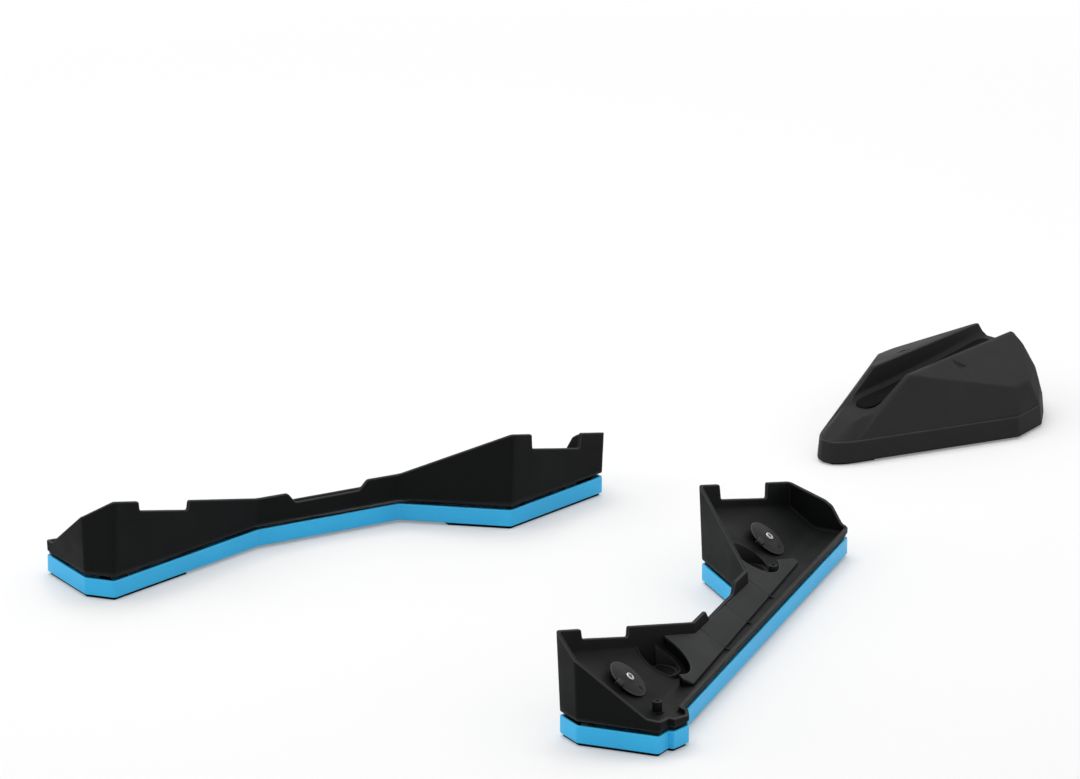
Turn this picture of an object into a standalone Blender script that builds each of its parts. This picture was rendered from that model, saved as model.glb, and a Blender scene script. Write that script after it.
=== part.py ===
"""Rocker plate set for a bicycle trainer: two mirrored plates and a front-wheel block.

Each plate is a base tray on rubber pads. A carriage rolls fore and aft inside the base, and
an upper tray that holds the trainer's leg rocks sideways on the carriage. The block stands in
front, with a groove for the front wheel. X points to the rider's right, Y forward and Z up.
The origin is on the floor, in the middle of the whole set. All sizes are in metres.
"""

import math

import bmesh
import bpy
import numpy as np
from mathutils import Matrix, Vector

MM = 0.001

# General clearances
SEAT_GAP = 0.3 * MM
RUN_GAP = 0.3 * MM
ROUND_STEPS = 24
FINE_STEPS = 32

# Place of the plates and the block on the floor
PLATE_SPREAD = 394.7 * MM
TOE_ANGLE = math.radians(22.08)
BLOCK_AHEAD = 724.1 * MM
BLOCK_SIDE_SHIFT = -6.0 * MM

# Plate outline, in the plate's own axes: along its long outer side, and across from it
OUTER_LENGTH = 554.2 * MM
OUTER_START = 20.0 * MM
OUTER_START_WIDTH = 13.4 * MM
HEEL_FRONT = 14.0 * MM
HEEL_FRONT_WIDTH = 5.2 * MM
NOSE_LENGTH = 11.8 * MM
NOSE_WIDTH = 65.8 * MM
FRONT_PEAK = 432.0 * MM
FRONT_LOBE_WIDTH = 117.3 * MM
NECK_FRONT = 340.7 * MM
NECK_FRONT_WIDTH = 45.3 * MM
NECK_REAR = 179.3 * MM
NECK_REAR_WIDTH = 50.9 * MM
REAR_PEAK = -11.6 * MM
REAR_LOBE_WIDTH = 123.2 * MM
TAIL_INNER = -33.4 * MM
TAIL_INNER_WIDTH = 99.1 * MM
TAIL_OUTER = -38.3 * MM
TAIL_OUTER_WIDTH = 17.2 * MM
STEP_PLACE = -20.5 * MM
STEP_INNER_WIDTH = 13.4 * MM
STEP_OUTER_WIDTH = 8.1 * MM
CORNER_RADIUS = 4.6 * MM
CORNER_STEPS = 3

# Heights above the floor
PAD_THICKNESS = 2.8 * MM
BASE_TOP = 20.5 * MM
BASE_FLOOR = 3.0 * MM
BASE_WALL = 3.0 * MM
SHADOW_GAP = 4.2 * MM

# Upper tray: wall thickness, lean and top heights
TRAY_WALL = 3.5 * MM
TRAY_LEAN = 0.044
RIM_TOP = 31.0 * MM
REAR_PEAK_TOP = 104.0 * MM
FRONT_PEAK_TOP = 102.3 * MM
TAIL_TOP = 85.0 * MM
TAIL_SHOULDER_TOP = 43.0 * MM
TAIL_FOOT_TOP = 36.5 * MM
STEP_TOP = 34.0 * MM
NOSE_TOP = 68.0 * MM
NOSE_SHOULDER_TOP = 55.3 * MM
NOSE_CHEST_TOP = 50.4 * MM
NOSE_FOOT_TOP = 33.4 * MM
NECK_FRONT_TOP = 52.5 * MM
NECK_REAR_TOP = 54.1 * MM
NOSE_FOOT_PLACE = 2.2 * MM
NOSE_CHEST_PLACE = 17.8 * MM
NOSE_SHOULDER_PLACE = 25.8 * MM
TAIL_SHOULDER_PLACE = 60.0 * MM
TAIL_FOOT_PLACE = 69.0 * MM

# Cut-outs in the inner wall, each measured from the end of its wall nearest the neck or hand
FRONT_NOTCH_PLACE = 29.0 * MM
FRONT_NOTCH_LENGTH = 77.0 * MM
FRONT_NOTCH_DEPTH = 16.0 * MM
REAR_NOTCH_PLACE = 33.0 * MM
REAR_NOTCH_LENGTH = 71.0 * MM
REAR_NOTCH_DEPTH = 10.0 * MM
NOTCH_SLANT = 1.5 * MM
HAND_CUT_PLACE = 34.0 * MM
HAND_CUT_LENGTH = 91.0 * MM
HAND_CUT_SLANT = 9.0 * MM
HAND_CUT_FLOOR = 43.0 * MM

# Tray floors: a level gutter along the outer side and a sloping pocket floor inward of it
SLOPE = math.radians(33.0)
DECK_EDGE_ACROSS = 43.7 * MM
DECK_EDGE_TOP = 41.0 * MM
DECK_OUTER_ACROSS = 22.5 * MM
POCKET_DROP = 12.0 * MM
POCKET_FLOOR = 3.0 * MM
GUTTER_TOP = 24.3 * MM
GUTTER_FLOOR = 1.7 * MM
FLOOR_INSET = 1.5 * MM
WALL_HEEL = 1.7 * MM
RIB_THICKNESS = 2.0 * MM
RIB_OUTER_ACROSS = 17.5 * MM
SEAM_PLACES = (193.0 * MM, 269.5 * MM, 346.0 * MM)
SEAM_WIDTH = 0.8 * MM
SEAM_DEPTH = 0.8 * MM

# Deck panel, and the round seats for the trainer's feet
DECK_REAR = 85.0 * MM
DECK_REAR_TIP = 90.0 * MM
DECK_REAR_CORNER = 32.0 * MM
DECK_REAR_SLANT = 3.0 * MM
DECK_FRONT = 450.0 * MM
DECK_FRONT_CORNER = 26.8 * MM
DECK_FRONT_BEND = 421.0 * MM
DECK_BEND_ACROSS = 37.5 * MM
DECK_WALL = 3.0 * MM
FOOT_REAR_ALONG = 104.0 * MM
FOOT_REAR_ACROSS = 61.5 * MM
FOOT_FRONT_ALONG = 404.4 * MM
FOOT_FRONT_ACROSS = 60.8 * MM
DECK_FOOT_CLEAR = 1.2 * MM
CUP_RADIUS = 19.5 * MM
CUP_WALL = 2.0 * MM
CUP_FLOOR_TOP = 27.3 * MM
CUP_FLOOR = 2.3 * MM
CUP_LIP = 4.2 * MM
CUP_BEAD = 0.6 * MM
CUP_INSERT = 2.4 * MM
CUP_DISH = 1.0 * MM
CUP_RIM = 4.0 * MM

# Locating pegs
PEG_RADIUS = 4.2 * MM
PEG_TOP = 36.0 * MM
PEG_ROOT = 1.0 * MM
PEG_REAR_ALONG = 13.0 * MM
PEG_REAR_ACROSS = 35.0 * MM
PEG_FRONT_AHEAD = 3.6 * MM
PEG_BLEND = 1.1 * MM

# Lock discs, tilted outward more than the floor
DISC_TILT = math.radians(40.0)
DISC_RADIUS = 21.0 * MM
DISC_RIM = 1.2 * MM
DISC_DOME = 3.2 * MM
DISC_REAR_ALONG = 26.0 * MM
DISC_REAR_ACROSS = 65.4 * MM
DISC_REAR_TOP = 52.0 * MM
DISC_FRONT_ALONG = 462.0 * MM
DISC_FRONT_ACROSS = 55.9 * MM
DISC_FRONT_TOP = 45.8 * MM
DISC_MARK_LENGTH = 5.0 * MM
DISC_MARK_WIDTH = 4.0 * MM
DISC_MARK_DEPTH = 0.9 * MM
DISC_MARK_RADIUS = 16.5 * MM
DISC_BOSS_RADIUS = 8.0 * MM
DISC_BOSS_REACH = 8.6 * MM
SCREW_HEAD_RADIUS = 4.5 * MM
SCREW_HEAD_HEIGHT = 1.6 * MM
SCREW_SINK = 0.7 * MM
SCREW_RADIUS = 2.0 * MM
SCREW_REACH = 10.5 * MM
LATCH_WIDTH = 10.0 * MM
LATCH_LENGTH = 8.0 * MM
LATCH_GAP = 1.0 * MM
LATCH_HOOK_REACH = 3.0 * MM
LATCH_HOOK_THICKNESS = 2.0 * MM
LATCH_HOOK_GAP = 0.45 * MM
LATCH_SHIFT = 3.0 * MM

# Rolling gear
TRAVEL = 20.0 * MM
RAIL_WIDTH = 12.0 * MM
RAIL_THICKNESS = 2.0 * MM
RAIL_MARGIN = 2.0 * MM
ROLLER_RADIUS = 11.0 * MM
ROLLER_WIDTH = 9.0 * MM
ROLLER_EDGE = 0.8 * MM
ROLLER_SPACING = 50.0 * MM
AXLE_RADIUS = 3.0 * MM
AXLE_HEAD_RADIUS = 4.5 * MM
AXLE_HEAD = 1.0 * MM
CHEEK_THICKNESS = 3.0 * MM
CHEEK_SIDE_GAP = 0.7 * MM
CHEEK_LOW = 12.0 * MM
CHEEK_TOP = 25.5 * MM
CHEEK_END = 4.0 * MM
CHEEK_WALL_GAP = 4.5 * MM
REAR_BUMPER_CLEAR = 0.4 * MM
FRONT_BUMPER_CLEAR = 6.4 * MM
SPINE_WIDTH = 10.0 * MM
SPINE_LOW = 12.0 * MM
SPINE_TOP = 17.0 * MM
SPINE_ACROSS = 27.0 * MM
SPINE_REAR_BEND = 150.0 * MM
SPINE_FRONT_BEND = 372.0 * MM
BUMPER_THICKNESS = 5.0 * MM
BUMPER_WIDTH = 14.0 * MM
BUMPER_TOP = 20.0 * MM
BUMPER_GAP = 0.6 * MM

# Side-rock pivot, parallel to the plate's long side
ROCK_ACROSS = 78.0 * MM
ROCK_HEIGHT = 26.0 * MM
ROCK_PIN_RADIUS = 3.0 * MM
ROCK_PIN_LENGTH = 22.0 * MM
ROCK_PIN_END = 0.5 * MM
LUG_THICKNESS = 5.0 * MM
LUG_HALF_WIDTH = 6.0 * MM
LUG_SIDE_GAP = 1.0 * MM
LUG_UNDER_PIN = 5.0 * MM

# Pads under the two ends of each plate
PAD_INSET = 3.0 * MM
REAR_PAD_END = 84.0 * MM
FRONT_PAD_START = 382.0 * MM

# Front-wheel block, measured from its nose
BLOCK_LENGTH = 316.0 * MM
BLOCK_FOOT_GAP = 2.5 * MM
BLOCK_SKIRT_TOP = 25.0 * MM
BLOCK_NOSE_HALF = 8.2 * MM
BLOCK_CHEEK_PLACE = 23.0 * MM
BLOCK_CHEEK_HALF = 26.5 * MM
BLOCK_HIP_PLACE = 197.5 * MM
BLOCK_HIP_HALF = 106.5 * MM
BLOCK_HIP_LENGTH = 49.5 * MM
BLOCK_FRONT_HALF = 35.0 * MM
BLOCK_SKIRT_STEP = 0.5 * MM
RIDGE_HALF = 25.0 * MM
RIDGE_REAR = 111.0 * MM
RIDGE_REAR_TOP = 75.5 * MM
RIDGE_FRONT = 296.0 * MM
RIDGE_FRONT_TOP = 78.5 * MM
SHOULDER_HALF = 90.0 * MM
SHOULDER_PLACE = 209.0 * MM
SHOULDER_LENGTH = 28.0 * MM
SHOULDER_TOP = 51.5 * MM
LIP_PLACE = 40.0 * MM
LIP_TOP = 43.0 * MM
LIP_HALF = 12.0 * MM
MOUTH_PLACE = 58.0 * MM
MOUTH_TOP = 45.6 * MM
MOUTH_HALF = 20.0 * MM
GROOVE_FLOOR_HALF = 13.0 * MM
GROOVE_SIDE_HALF = 18.0 * MM
GROOVE_TOP_HALF = 21.0 * MM
GROOVE_BEND = 5.0 * MM
GROOVE_LOW_PLACE = 100.0 * MM
GROOVE_LOW_TOP = 50.0 * MM
GROOVE_EXIT_TOP = 67.5 * MM
GROOVE_MOUTH_TOP = 42.0 * MM
BLOCK_WALL = 4.5 * MM
BLOCK_FLANGE = 14.0 * MM
BLOCK_FLANGE_HEIGHT = 4.0 * MM
BLOCK_PAD_INSET = 5.0 * MM
BLOCK_NOSE_PAD_END = 45.0 * MM
BLOCK_FRONT_PAD_START = 222.0 * MM
LINER_HALF = 11.0 * MM
LINER_THICKNESS = 2.0 * MM
LINER_START = 70.0 * MM
LINER_END = 290.0 * MM
MARK_LENGTH = 12.0 * MM
MARK_WIDTH = 9.0 * MM
MARK_DEPTH = 0.8 * MM
MARK_PLACE = 158.0 * MM
MARK_SIDE = 40.0 * MM

BASE_LOW = PAD_THICKNESS + SEAT_GAP
TRAY_LOW = BASE_TOP + SHADOW_GAP
RAIL_LOW = BASE_LOW + BASE_FLOOR + SEAT_GAP
RAIL_TOP = RAIL_LOW + RAIL_THICKNESS
AXLE_HEIGHT = RAIL_TOP + RUN_GAP + ROLLER_RADIUS
FAR = 1.0

FINISHES = {
    "base_blue": ((0.026, 0.376, 0.730), 0.35, 0.0),
    "tray_black": ((0.014, 0.015, 0.015), 0.42, 0.0),
    "deck_grey": ((0.045, 0.045, 0.045), 0.55, 0.0),
    "rubber": ((0.012, 0.012, 0.012), 0.85, 0.0),
    "steel": ((0.560, 0.570, 0.580), 0.30, 1.0),
    "roller_nylon": ((0.700, 0.690, 0.650), 0.45, 0.0),
    "disc_grey": ((0.060, 0.060, 0.062), 0.38, 0.0),
    "screw_bright": ((0.820, 0.820, 0.830), 0.22, 1.0),
    "block_black": ((0.016, 0.017, 0.017), 0.45, 0.0),
}


def finish(name):
    """The Principled material of this name, made once."""
    material = bpy.data.materials.get(name)
    if material is None:
        colour, roughness, metallic = FINISHES[name]
        material = bpy.data.materials.new(name)
        material.use_nodes = True
        shader = material.node_tree.nodes["Principled BSDF"]
        shader.inputs["Base Color"].default_value = (*colour, 1.0)
        shader.inputs["Roughness"].default_value = roughness
        shader.inputs["Metallic"].default_value = metallic
        material.diffuse_color = (*colour, 1.0)
    return material


def solid(name, points, faces):
    """A new object with this closed mesh, its faces turned outward."""
    mesh = bpy.data.meshes.new(name)
    mesh.from_pydata([tuple(point) for point in points], [], [tuple(face) for face in faces])
    shape = bmesh.new()
    shape.from_mesh(mesh)
    bmesh.ops.remove_doubles(shape, verts=shape.verts, dist=1e-7)
    bmesh.ops.recalc_face_normals(shape, faces=shape.faces)
    shape.to_mesh(mesh)
    shape.free()
    obj = bpy.data.objects.new(name, mesh)
    bpy.context.scene.collection.objects.link(obj)
    return obj


def loft(name, loops):
    """A closed solid through loops of equal length, with flat ends."""
    count = len(loops[0])
    points = [point for loop in loops for point in loop]
    faces = [range(count), range((len(loops) - 1) * count, len(loops) * count)]
    for row in range(len(loops) - 1):
        low = row * count
        for k in range(count):
            after = (k + 1) % count
            faces.append((low + k, low + after, low + count + after, low + count + k))
    return solid(name, points, faces)


def hull(name, points):
    """The convex solid around the points."""
    mesh = bpy.data.meshes.new(name)
    shape = bmesh.new()
    for point in points:
        shape.verts.new(point)
    bmesh.ops.convex_hull(shape, input=shape.verts)
    bmesh.ops.dissolve_limit(shape, angle_limit=1e-3, verts=shape.verts, edges=shape.edges)
    bmesh.ops.recalc_face_normals(shape, faces=shape.faces)
    shape.to_mesh(mesh)
    shape.free()
    obj = bpy.data.objects.new(name, mesh)
    bpy.context.scene.collection.objects.link(obj)
    return obj


def combine(target, tool, operation):
    """Cuts, joins or intersects target with tool, keeps the result and removes the tool."""
    modifier = target.modifiers.new("Shape", "BOOLEAN")
    modifier.operation = operation
    modifier.solver = "EXACT"
    modifier.object = tool
    graph = bpy.context.evaluated_depsgraph_get()
    shaped = bpy.data.meshes.new_from_object(target.evaluated_get(graph))
    target.modifiers.clear()
    target.data = shaped
    bpy.data.objects.remove(tool)
    return target


def join(target, *tools):
    """Target with every tool joined to it."""
    for tool in tools:
        combine(target, tool, "UNION")
    return target


def cut(target, *tools):
    """Target with every tool cut out of it."""
    for tool in tools:
        combine(target, tool, "DIFFERENCE")
    return target


def clip(target, tool):
    """The part of target inside tool."""
    return combine(target, tool, "INTERSECT")


def finished(obj, name, finish_name, origin, smooth=False):
    """Names the piece, gives it its finish and puts its origin at the given point."""
    obj.name = name
    mesh = obj.data
    mesh.name = name
    shape = bmesh.new()
    shape.from_mesh(mesh)
    bmesh.ops.remove_doubles(shape, verts=shape.verts, dist=2e-6)
    bmesh.ops.dissolve_degenerate(shape, edges=shape.edges, dist=2e-6)
    shape.to_mesh(mesh)
    shape.free()
    mesh.materials.clear()
    mesh.materials.append(finish(finish_name))
    mesh.transform(Matrix.Translation(-Vector(origin)))
    obj.location = origin
    if smooth:
        mesh.shade_smooth()
        mesh.set_sharp_from_angle(angle=math.radians(35))
    return obj


def mirrored(obj):
    """The same piece on the left side of the set."""
    mesh = obj.data.copy()
    mesh.transform(Matrix.Scale(-1.0, 4, Vector((1.0, 0.0, 0.0))))
    mesh.flip_normals()
    twin = bpy.data.objects.new(obj.name.replace("right_", "left_", 1), mesh)
    mesh.name = twin.name
    twin.location = (-obj.location.x, obj.location.y, obj.location.z)
    bpy.context.scene.collection.objects.link(twin)
    return twin


def box(low, high):
    """A box between two corners."""
    (x0, y0, z0), (x1, y1, z1) = low, high
    floor = [(x0, y0, z0), (x1, y0, z0), (x1, y1, z0), (x0, y1, z0)]
    roof = [(x, y, z1) for x, y, _ in floor]
    return loft("box", [floor, roof])


def turned(profile, centre, axis, steps):
    """A solid of revolution: profile rows are (radius, height along the axis), closed at both ends."""
    axis = Vector(axis).normalized()
    side = axis.orthogonal().normalized()
    other = axis.cross(side)
    centre = Vector(centre)
    loops = []
    for radius, height in profile:
        loop = []
        for k in range(steps):
            angle = 2.0 * math.pi * k / steps
            spoke = side * math.cos(angle) + other * math.sin(angle)
            loop.append(centre + axis * height + spoke * radius)
        loops.append(loop)
    return loft("turned", loops)


def rod(start, end, radius, steps=ROUND_STEPS):
    """A plain round bar between two points."""
    start, end = Vector(start), Vector(end)
    return turned([(radius, 0.0), (radius, (end - start).length)], start, end - start, steps)


def upright(along, across, low, high, radius, steps=FINE_STEPS):
    """A plain vertical cylinder at a place on the plate."""
    return rod(place(along, across, low), place(along, across, high), radius, steps)


def edge_walk(corners):
    """Length along the outline at each corner, and the direction of the side that follows it."""
    points = np.array([(corner[1], corner[0]) for corner in corners])
    sides = np.roll(points, -1, axis=0) - points
    lengths = np.linalg.norm(sides, axis=1)
    starts = np.concatenate([[0.0], np.cumsum(lengths)[:-1]])
    return points, sides / lengths[:, None], lengths, starts


def plan_corners():
    """Outline corners as (along, across, radius), anticlockwise from the rear of the outer side.

    The last two round the heel, the short lobe that stands out behind the outer side.
    """
    step_radius = 0.0
    return [
        (OUTER_START, -OUTER_START_WIDTH, CORNER_RADIUS),
        (OUTER_LENGTH, 0.0, CORNER_RADIUS),
        (OUTER_LENGTH + NOSE_LENGTH, -NOSE_WIDTH, CORNER_RADIUS),
        (FRONT_PEAK, -FRONT_LOBE_WIDTH, CORNER_RADIUS),
        (NECK_FRONT, -NECK_FRONT_WIDTH, CORNER_RADIUS),
        (NECK_REAR, -NECK_REAR_WIDTH, CORNER_RADIUS),
        (REAR_PEAK, -REAR_LOBE_WIDTH, CORNER_RADIUS),
        (TAIL_INNER, -TAIL_INNER_WIDTH, CORNER_RADIUS),
        (TAIL_OUTER, -TAIL_OUTER_WIDTH, CORNER_RADIUS),
        (STEP_PLACE, -STEP_INNER_WIDTH, step_radius),
        (STEP_PLACE, -STEP_OUTER_WIDTH, step_radius),
        (0.0, 0.0, CORNER_RADIUS),
        (HEEL_FRONT, -HEEL_FRONT_WIDTH, CORNER_RADIUS),
    ]


def wall_tops(lengths):
    """For each side of the outline, the wall's top as (distance from the side's start, height)."""
    front, neck, rear_neck = lengths[2], lengths[4], lengths[5]
    front_rise = (FRONT_PEAK_TOP - NOSE_TOP) / front
    front_low = front - FRONT_NOTCH_PLACE - FRONT_NOTCH_LENGTH
    front_high = front - FRONT_NOTCH_PLACE
    rear_rise = (REAR_PEAK_TOP - NECK_REAR_TOP) / rear_neck
    rear_low = rear_neck - REAR_NOTCH_PLACE - REAR_NOTCH_LENGTH
    rear_high = rear_neck - REAR_NOTCH_PLACE
    hand_low = neck - HAND_CUT_PLACE - HAND_CUT_LENGTH
    hand_high = neck - HAND_CUT_PLACE

    def notch(low, high, start, rise, depth):
        """A notch with slanted ends, its floor parallel to the wall's top."""
        return [
            (low, start + rise * low),
            (low + NOTCH_SLANT, start + rise * low - depth),
            (high - NOTCH_SLANT, start + rise * high - depth),
            (high, start + rise * high),
        ]

    neck_rise = (NECK_REAR_TOP - NECK_FRONT_TOP) / neck
    return [
        [(0.0, RIM_TOP)],
        [
            (0.0, RIM_TOP),
            (CORNER_RADIUS + NOSE_FOOT_PLACE, NOSE_FOOT_TOP),
            (NOSE_CHEST_PLACE, NOSE_CHEST_TOP),
            (NOSE_SHOULDER_PLACE, NOSE_SHOULDER_TOP),
        ],
        [(0.0, NOSE_TOP), *notch(front_low, front_high, NOSE_TOP, front_rise, FRONT_NOTCH_DEPTH)],
        [(0.0, FRONT_PEAK_TOP)],
        [
            (0.0, NECK_FRONT_TOP),
            (hand_low, NECK_FRONT_TOP + neck_rise * hand_low),
            (hand_low + HAND_CUT_SLANT, HAND_CUT_FLOOR),
            (hand_high - HAND_CUT_SLANT, HAND_CUT_FLOOR),
            (hand_high, NECK_FRONT_TOP + neck_rise * hand_high),
        ],
        [(0.0, NECK_REAR_TOP), *notch(rear_low, rear_high, NECK_REAR_TOP, rear_rise, REAR_NOTCH_DEPTH)],
        [(0.0, REAR_PEAK_TOP)],
        [(0.0, TAIL_TOP), (TAIL_SHOULDER_PLACE, TAIL_SHOULDER_TOP), (TAIL_FOOT_PLACE, TAIL_FOOT_TOP)],
        [(0.0, TAIL_FOOT_TOP - 1.0 * MM)],
        [(0.0, STEP_TOP)],
        [(0.0, STEP_TOP - 0.5 * MM)],
        [(0.0, RIM_TOP)],
        [(0.0, RIM_TOP)],
    ]


def outline_stations():
    """Stations round the outline: (point, outward direction, top height), corners rounded by arcs.

    A point moved along its direction by a distance lies on the outline offset by that distance.
    """
    corners = plan_corners()
    points, directions, lengths, starts = edge_walk(corners)
    tops = wall_tops(lengths)
    total = starts[-1] + lengths[-1]
    walk = [starts[i] + at for i, side in enumerate(tops) for at, _ in side]
    heights = [height for side in tops for _, height in side]
    walk = [walk[-1] - total, *walk, total]
    heights = [heights[-1], *heights, heights[0]]
    normals = np.stack([directions[:, 1], -directions[:, 0]], axis=1)
    stations = []
    for i, (_, _, radius) in enumerate(corners):
        before, after = normals[i - 1], normals[i]
        turn = math.atan2(before[0] * after[1] - before[1] * after[0], before @ after)
        if radius == 0.0:
            miter = (before + after) / (1.0 + before @ after)
            stations.append((points[i], miter, float(np.interp(starts[i], walk, heights))))
        else:
            side = 1.0 if turn > 0.0 else -1.0
            reach = radius * math.tan(abs(turn) / 2.0)
            centre = points[i] - directions[i - 1] * reach - before * radius * side
            for k in range(CORNER_STEPS + 1):
                part = k / CORNER_STEPS
                angle = math.atan2(before[1], before[0]) + turn * part
                outward = np.array([math.cos(angle), math.sin(angle)])
                at = starts[i] + reach * (2.0 * part - 1.0)
                height = float(np.interp(at, walk, heights))
                stations.append((centre + outward * radius * side, outward, height))
        for at, height in tops[i][1:]:
            stations.append((points[i] + directions[i] * at, normals[i], height))
    return stations


def rear_reach():
    """How far the tray's rearmost corner lies behind the rear of the outer side (negative)."""
    lowest = 0.0
    for point, outward, height in outline_stations():
        spread = point + outward * TRAY_LEAN * (height - TRAY_LOW)
        lowest = min(lowest, spread[1] * math.cos(TOE_ANGLE) + spread[0] * math.sin(TOE_ANGLE))
    return lowest


PLATE_Y = -(BLOCK_AHEAD + BLOCK_LENGTH + rear_reach()) / 2.0
BLOCK_Y = PLATE_Y + BLOCK_AHEAD
ALONG = Vector((-math.sin(TOE_ANGLE), math.cos(TOE_ANGLE), 0.0))
ACROSS = Vector((math.cos(TOE_ANGLE), math.sin(TOE_ANGLE), 0.0))
UP = Vector((0.0, 0.0, 1.0))


def place(along, across, height):
    """A point given in the right plate's own axes; across is negative towards the bike."""
    return Vector((PLATE_SPREAD, PLATE_Y, height)) + ALONG * along + ACROSS * across


def plate_axes(point):
    """The (along, across) of a point of the set."""
    away = Vector((point[0] - PLATE_SPREAD, point[1] - PLATE_Y, 0.0))
    return away.dot(ALONG), away.dot(ACROSS)


def outline_loop(offset, height):
    """The outline moved outward by offset, at a height."""
    loop = []
    for point, outward, _ in outline_stations():
        moved = point + outward * offset
        loop.append(place(moved[1], moved[0], height))
    return loop


def lean(height):
    """How far the tray's walls stand out at a height."""
    return TRAY_LEAN * (height - TRAY_LOW)


def tray_inside(inset):
    """A solid that fills the tray's outline, inset from its leaning outer face."""
    low, high = BASE_LOW, REAR_PEAK_TOP
    return loft("inside", [outline_loop(lean(low) - inset, low), outline_loop(lean(high) - inset, high)])


def long_solid(section, start, end):
    """A solid with a constant (across, height) section, running along the plate."""
    return loft("long", [[place(at, across, height) for across, height in section] for at in (start, end)])


def slope_top(across, drop):
    """Height of the sloping deck plane, lowered by drop, at a distance across (negative inward)."""
    return DECK_EDGE_TOP - drop + (-DECK_EDGE_ACROSS - across) * math.tan(SLOPE)


def slope_across(height, drop):
    """Where the deck plane, lowered by drop, has this height."""
    return -DECK_EDGE_ACROSS - (height - DECK_EDGE_TOP + drop) / math.tan(SLOPE)


def inner_wall_x(along, across):
    """World x of a point of the plate, used to keep the rolling gear off the inner walls."""
    return place(along, across, 0.0).x


REAR_GEAR_X = (
    inner_wall_x(REAR_PEAK, -REAR_LOBE_WIDTH) + BASE_WALL + CHEEK_WALL_GAP
    + CHEEK_THICKNESS + CHEEK_SIDE_GAP + ROLLER_WIDTH / 2.0
)
FRONT_GEAR_X = (
    inner_wall_x(FRONT_PEAK, -FRONT_LOBE_WIDTH) + BASE_WALL + CHEEK_WALL_GAP
    + CHEEK_THICKNESS + CHEEK_SIDE_GAP + ROLLER_WIDTH / 2.0
)
CHEEK_REACH = ROLLER_SPACING / 2.0 + ROLLER_RADIUS + CHEEK_END
CHEEK_OUTER = ROLLER_WIDTH / 2.0 + CHEEK_SIDE_GAP + CHEEK_THICKNESS
GEAR_ROOM = CHEEK_REACH + TRAVEL + BUMPER_GAP + BUMPER_THICKNESS
REAR_GEAR_Y = place(REAR_PEAK, -REAR_LOBE_WIDTH, 0.0).y + GEAR_ROOM + REAR_BUMPER_CLEAR
FRONT_GEAR_Y = place(OUTER_LENGTH + NOSE_LENGTH, -NOSE_WIDTH, 0.0).y - GEAR_ROOM - FRONT_BUMPER_CLEAR
GEARS = (("rear", REAR_GEAR_X, REAR_GEAR_Y), ("front", FRONT_GEAR_X, FRONT_GEAR_Y))
REAR_ROCK_ALONG, FRONT_ROCK_ALONG = (
    (y - PLATE_Y + ROCK_ACROSS * math.sin(TOE_ANGLE)) / math.cos(TOE_ANGLE) for _, _, y in GEARS
)
ROCK_CENTRE = place(REAR_ROCK_ALONG, -ROCK_ACROSS, ROCK_HEIGHT)
PEG_FOOT_DISTANCE = CUP_RADIUS + CUP_WALL + PEG_RADIUS - PEG_BLEND
PEG_FRONT_ALONG = FOOT_FRONT_ALONG + PEG_FRONT_AHEAD
PEG_FRONT_ACROSS = FOOT_FRONT_ACROSS - math.sqrt(PEG_FOOT_DISTANCE ** 2 - PEG_FRONT_AHEAD ** 2)
DECK_FOOT_RADIUS = PEG_FOOT_DISTANCE + PEG_RADIUS + DECK_FOOT_CLEAR


def roller_places():
    """The four axle centres of a plate, from rear to front."""
    return [
        Vector((x, y + side * ROLLER_SPACING / 2.0, AXLE_HEIGHT))
        for _, x, y in GEARS
        for side in (-1.0, 1.0)
    ]


def build_base():
    """The blue base tray: an open box that follows the outline."""
    tray = loft("base", [outline_loop(0.0, BASE_LOW), outline_loop(0.0, BASE_TOP)])
    floor = BASE_LOW + BASE_FLOOR
    cut(tray, loft("hollow", [outline_loop(-BASE_WALL, floor), outline_loop(-BASE_WALL, FAR)]))
    return finished(tray, "right_base_tray", "base_blue", place(0.0, 0.0, BASE_LOW))


def build_pads():
    """Rubber pads under the rear and the front end of the base."""
    pieces = []
    for name, start, end in (
        ("rear", -FAR, REAR_PAD_END),
        ("front", FRONT_PAD_START, FAR),
    ):
        pad = loft("pad", [outline_loop(-PAD_INSET, 0.0), outline_loop(-PAD_INSET, PAD_THICKNESS)])
        section = [(-FAR, -FAR), (FAR, -FAR), (FAR, FAR), (-FAR, FAR)]
        clip(pad, long_solid(section, start, end))
        pieces.append(finished(pad, f"right_pad_{name}", "rubber", place(0.0, 0.0, 0.0)))
    return pieces


def build_rails_and_bumpers():
    """A steel rail under each pair of rollers, and the rubber stop at the end of its travel."""
    pieces = []
    reach = ROLLER_SPACING / 2.0 + ROLLER_RADIUS + TRAVEL + RAIL_MARGIN
    for name, x, y in GEARS:
        half = RAIL_WIDTH / 2.0
        rail = box((x - half, y - reach, RAIL_LOW), (x + half, y + reach, RAIL_TOP))
        pieces.append(finished(rail, f"right_rail_{name}", "steel", (x, y, RAIL_LOW)))
    stop = CHEEK_REACH + TRAVEL + BUMPER_GAP
    gears = (("rear", REAR_GEAR_X, REAR_GEAR_Y, -1.0), ("front", FRONT_GEAR_X, FRONT_GEAR_Y, 1.0))
    for name, x, y, ahead in gears:
        near, far = sorted((y + ahead * stop, y + ahead * (stop + BUMPER_THICKNESS)))
        half = BUMPER_WIDTH / 2.0
        bumper = box((x - half, near, RAIL_LOW), (x + half, far, BUMPER_TOP))
        pieces.append(finished(bumper, f"right_bumper_{name}", "rubber", (x, near, RAIL_LOW)))
    return pieces


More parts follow.
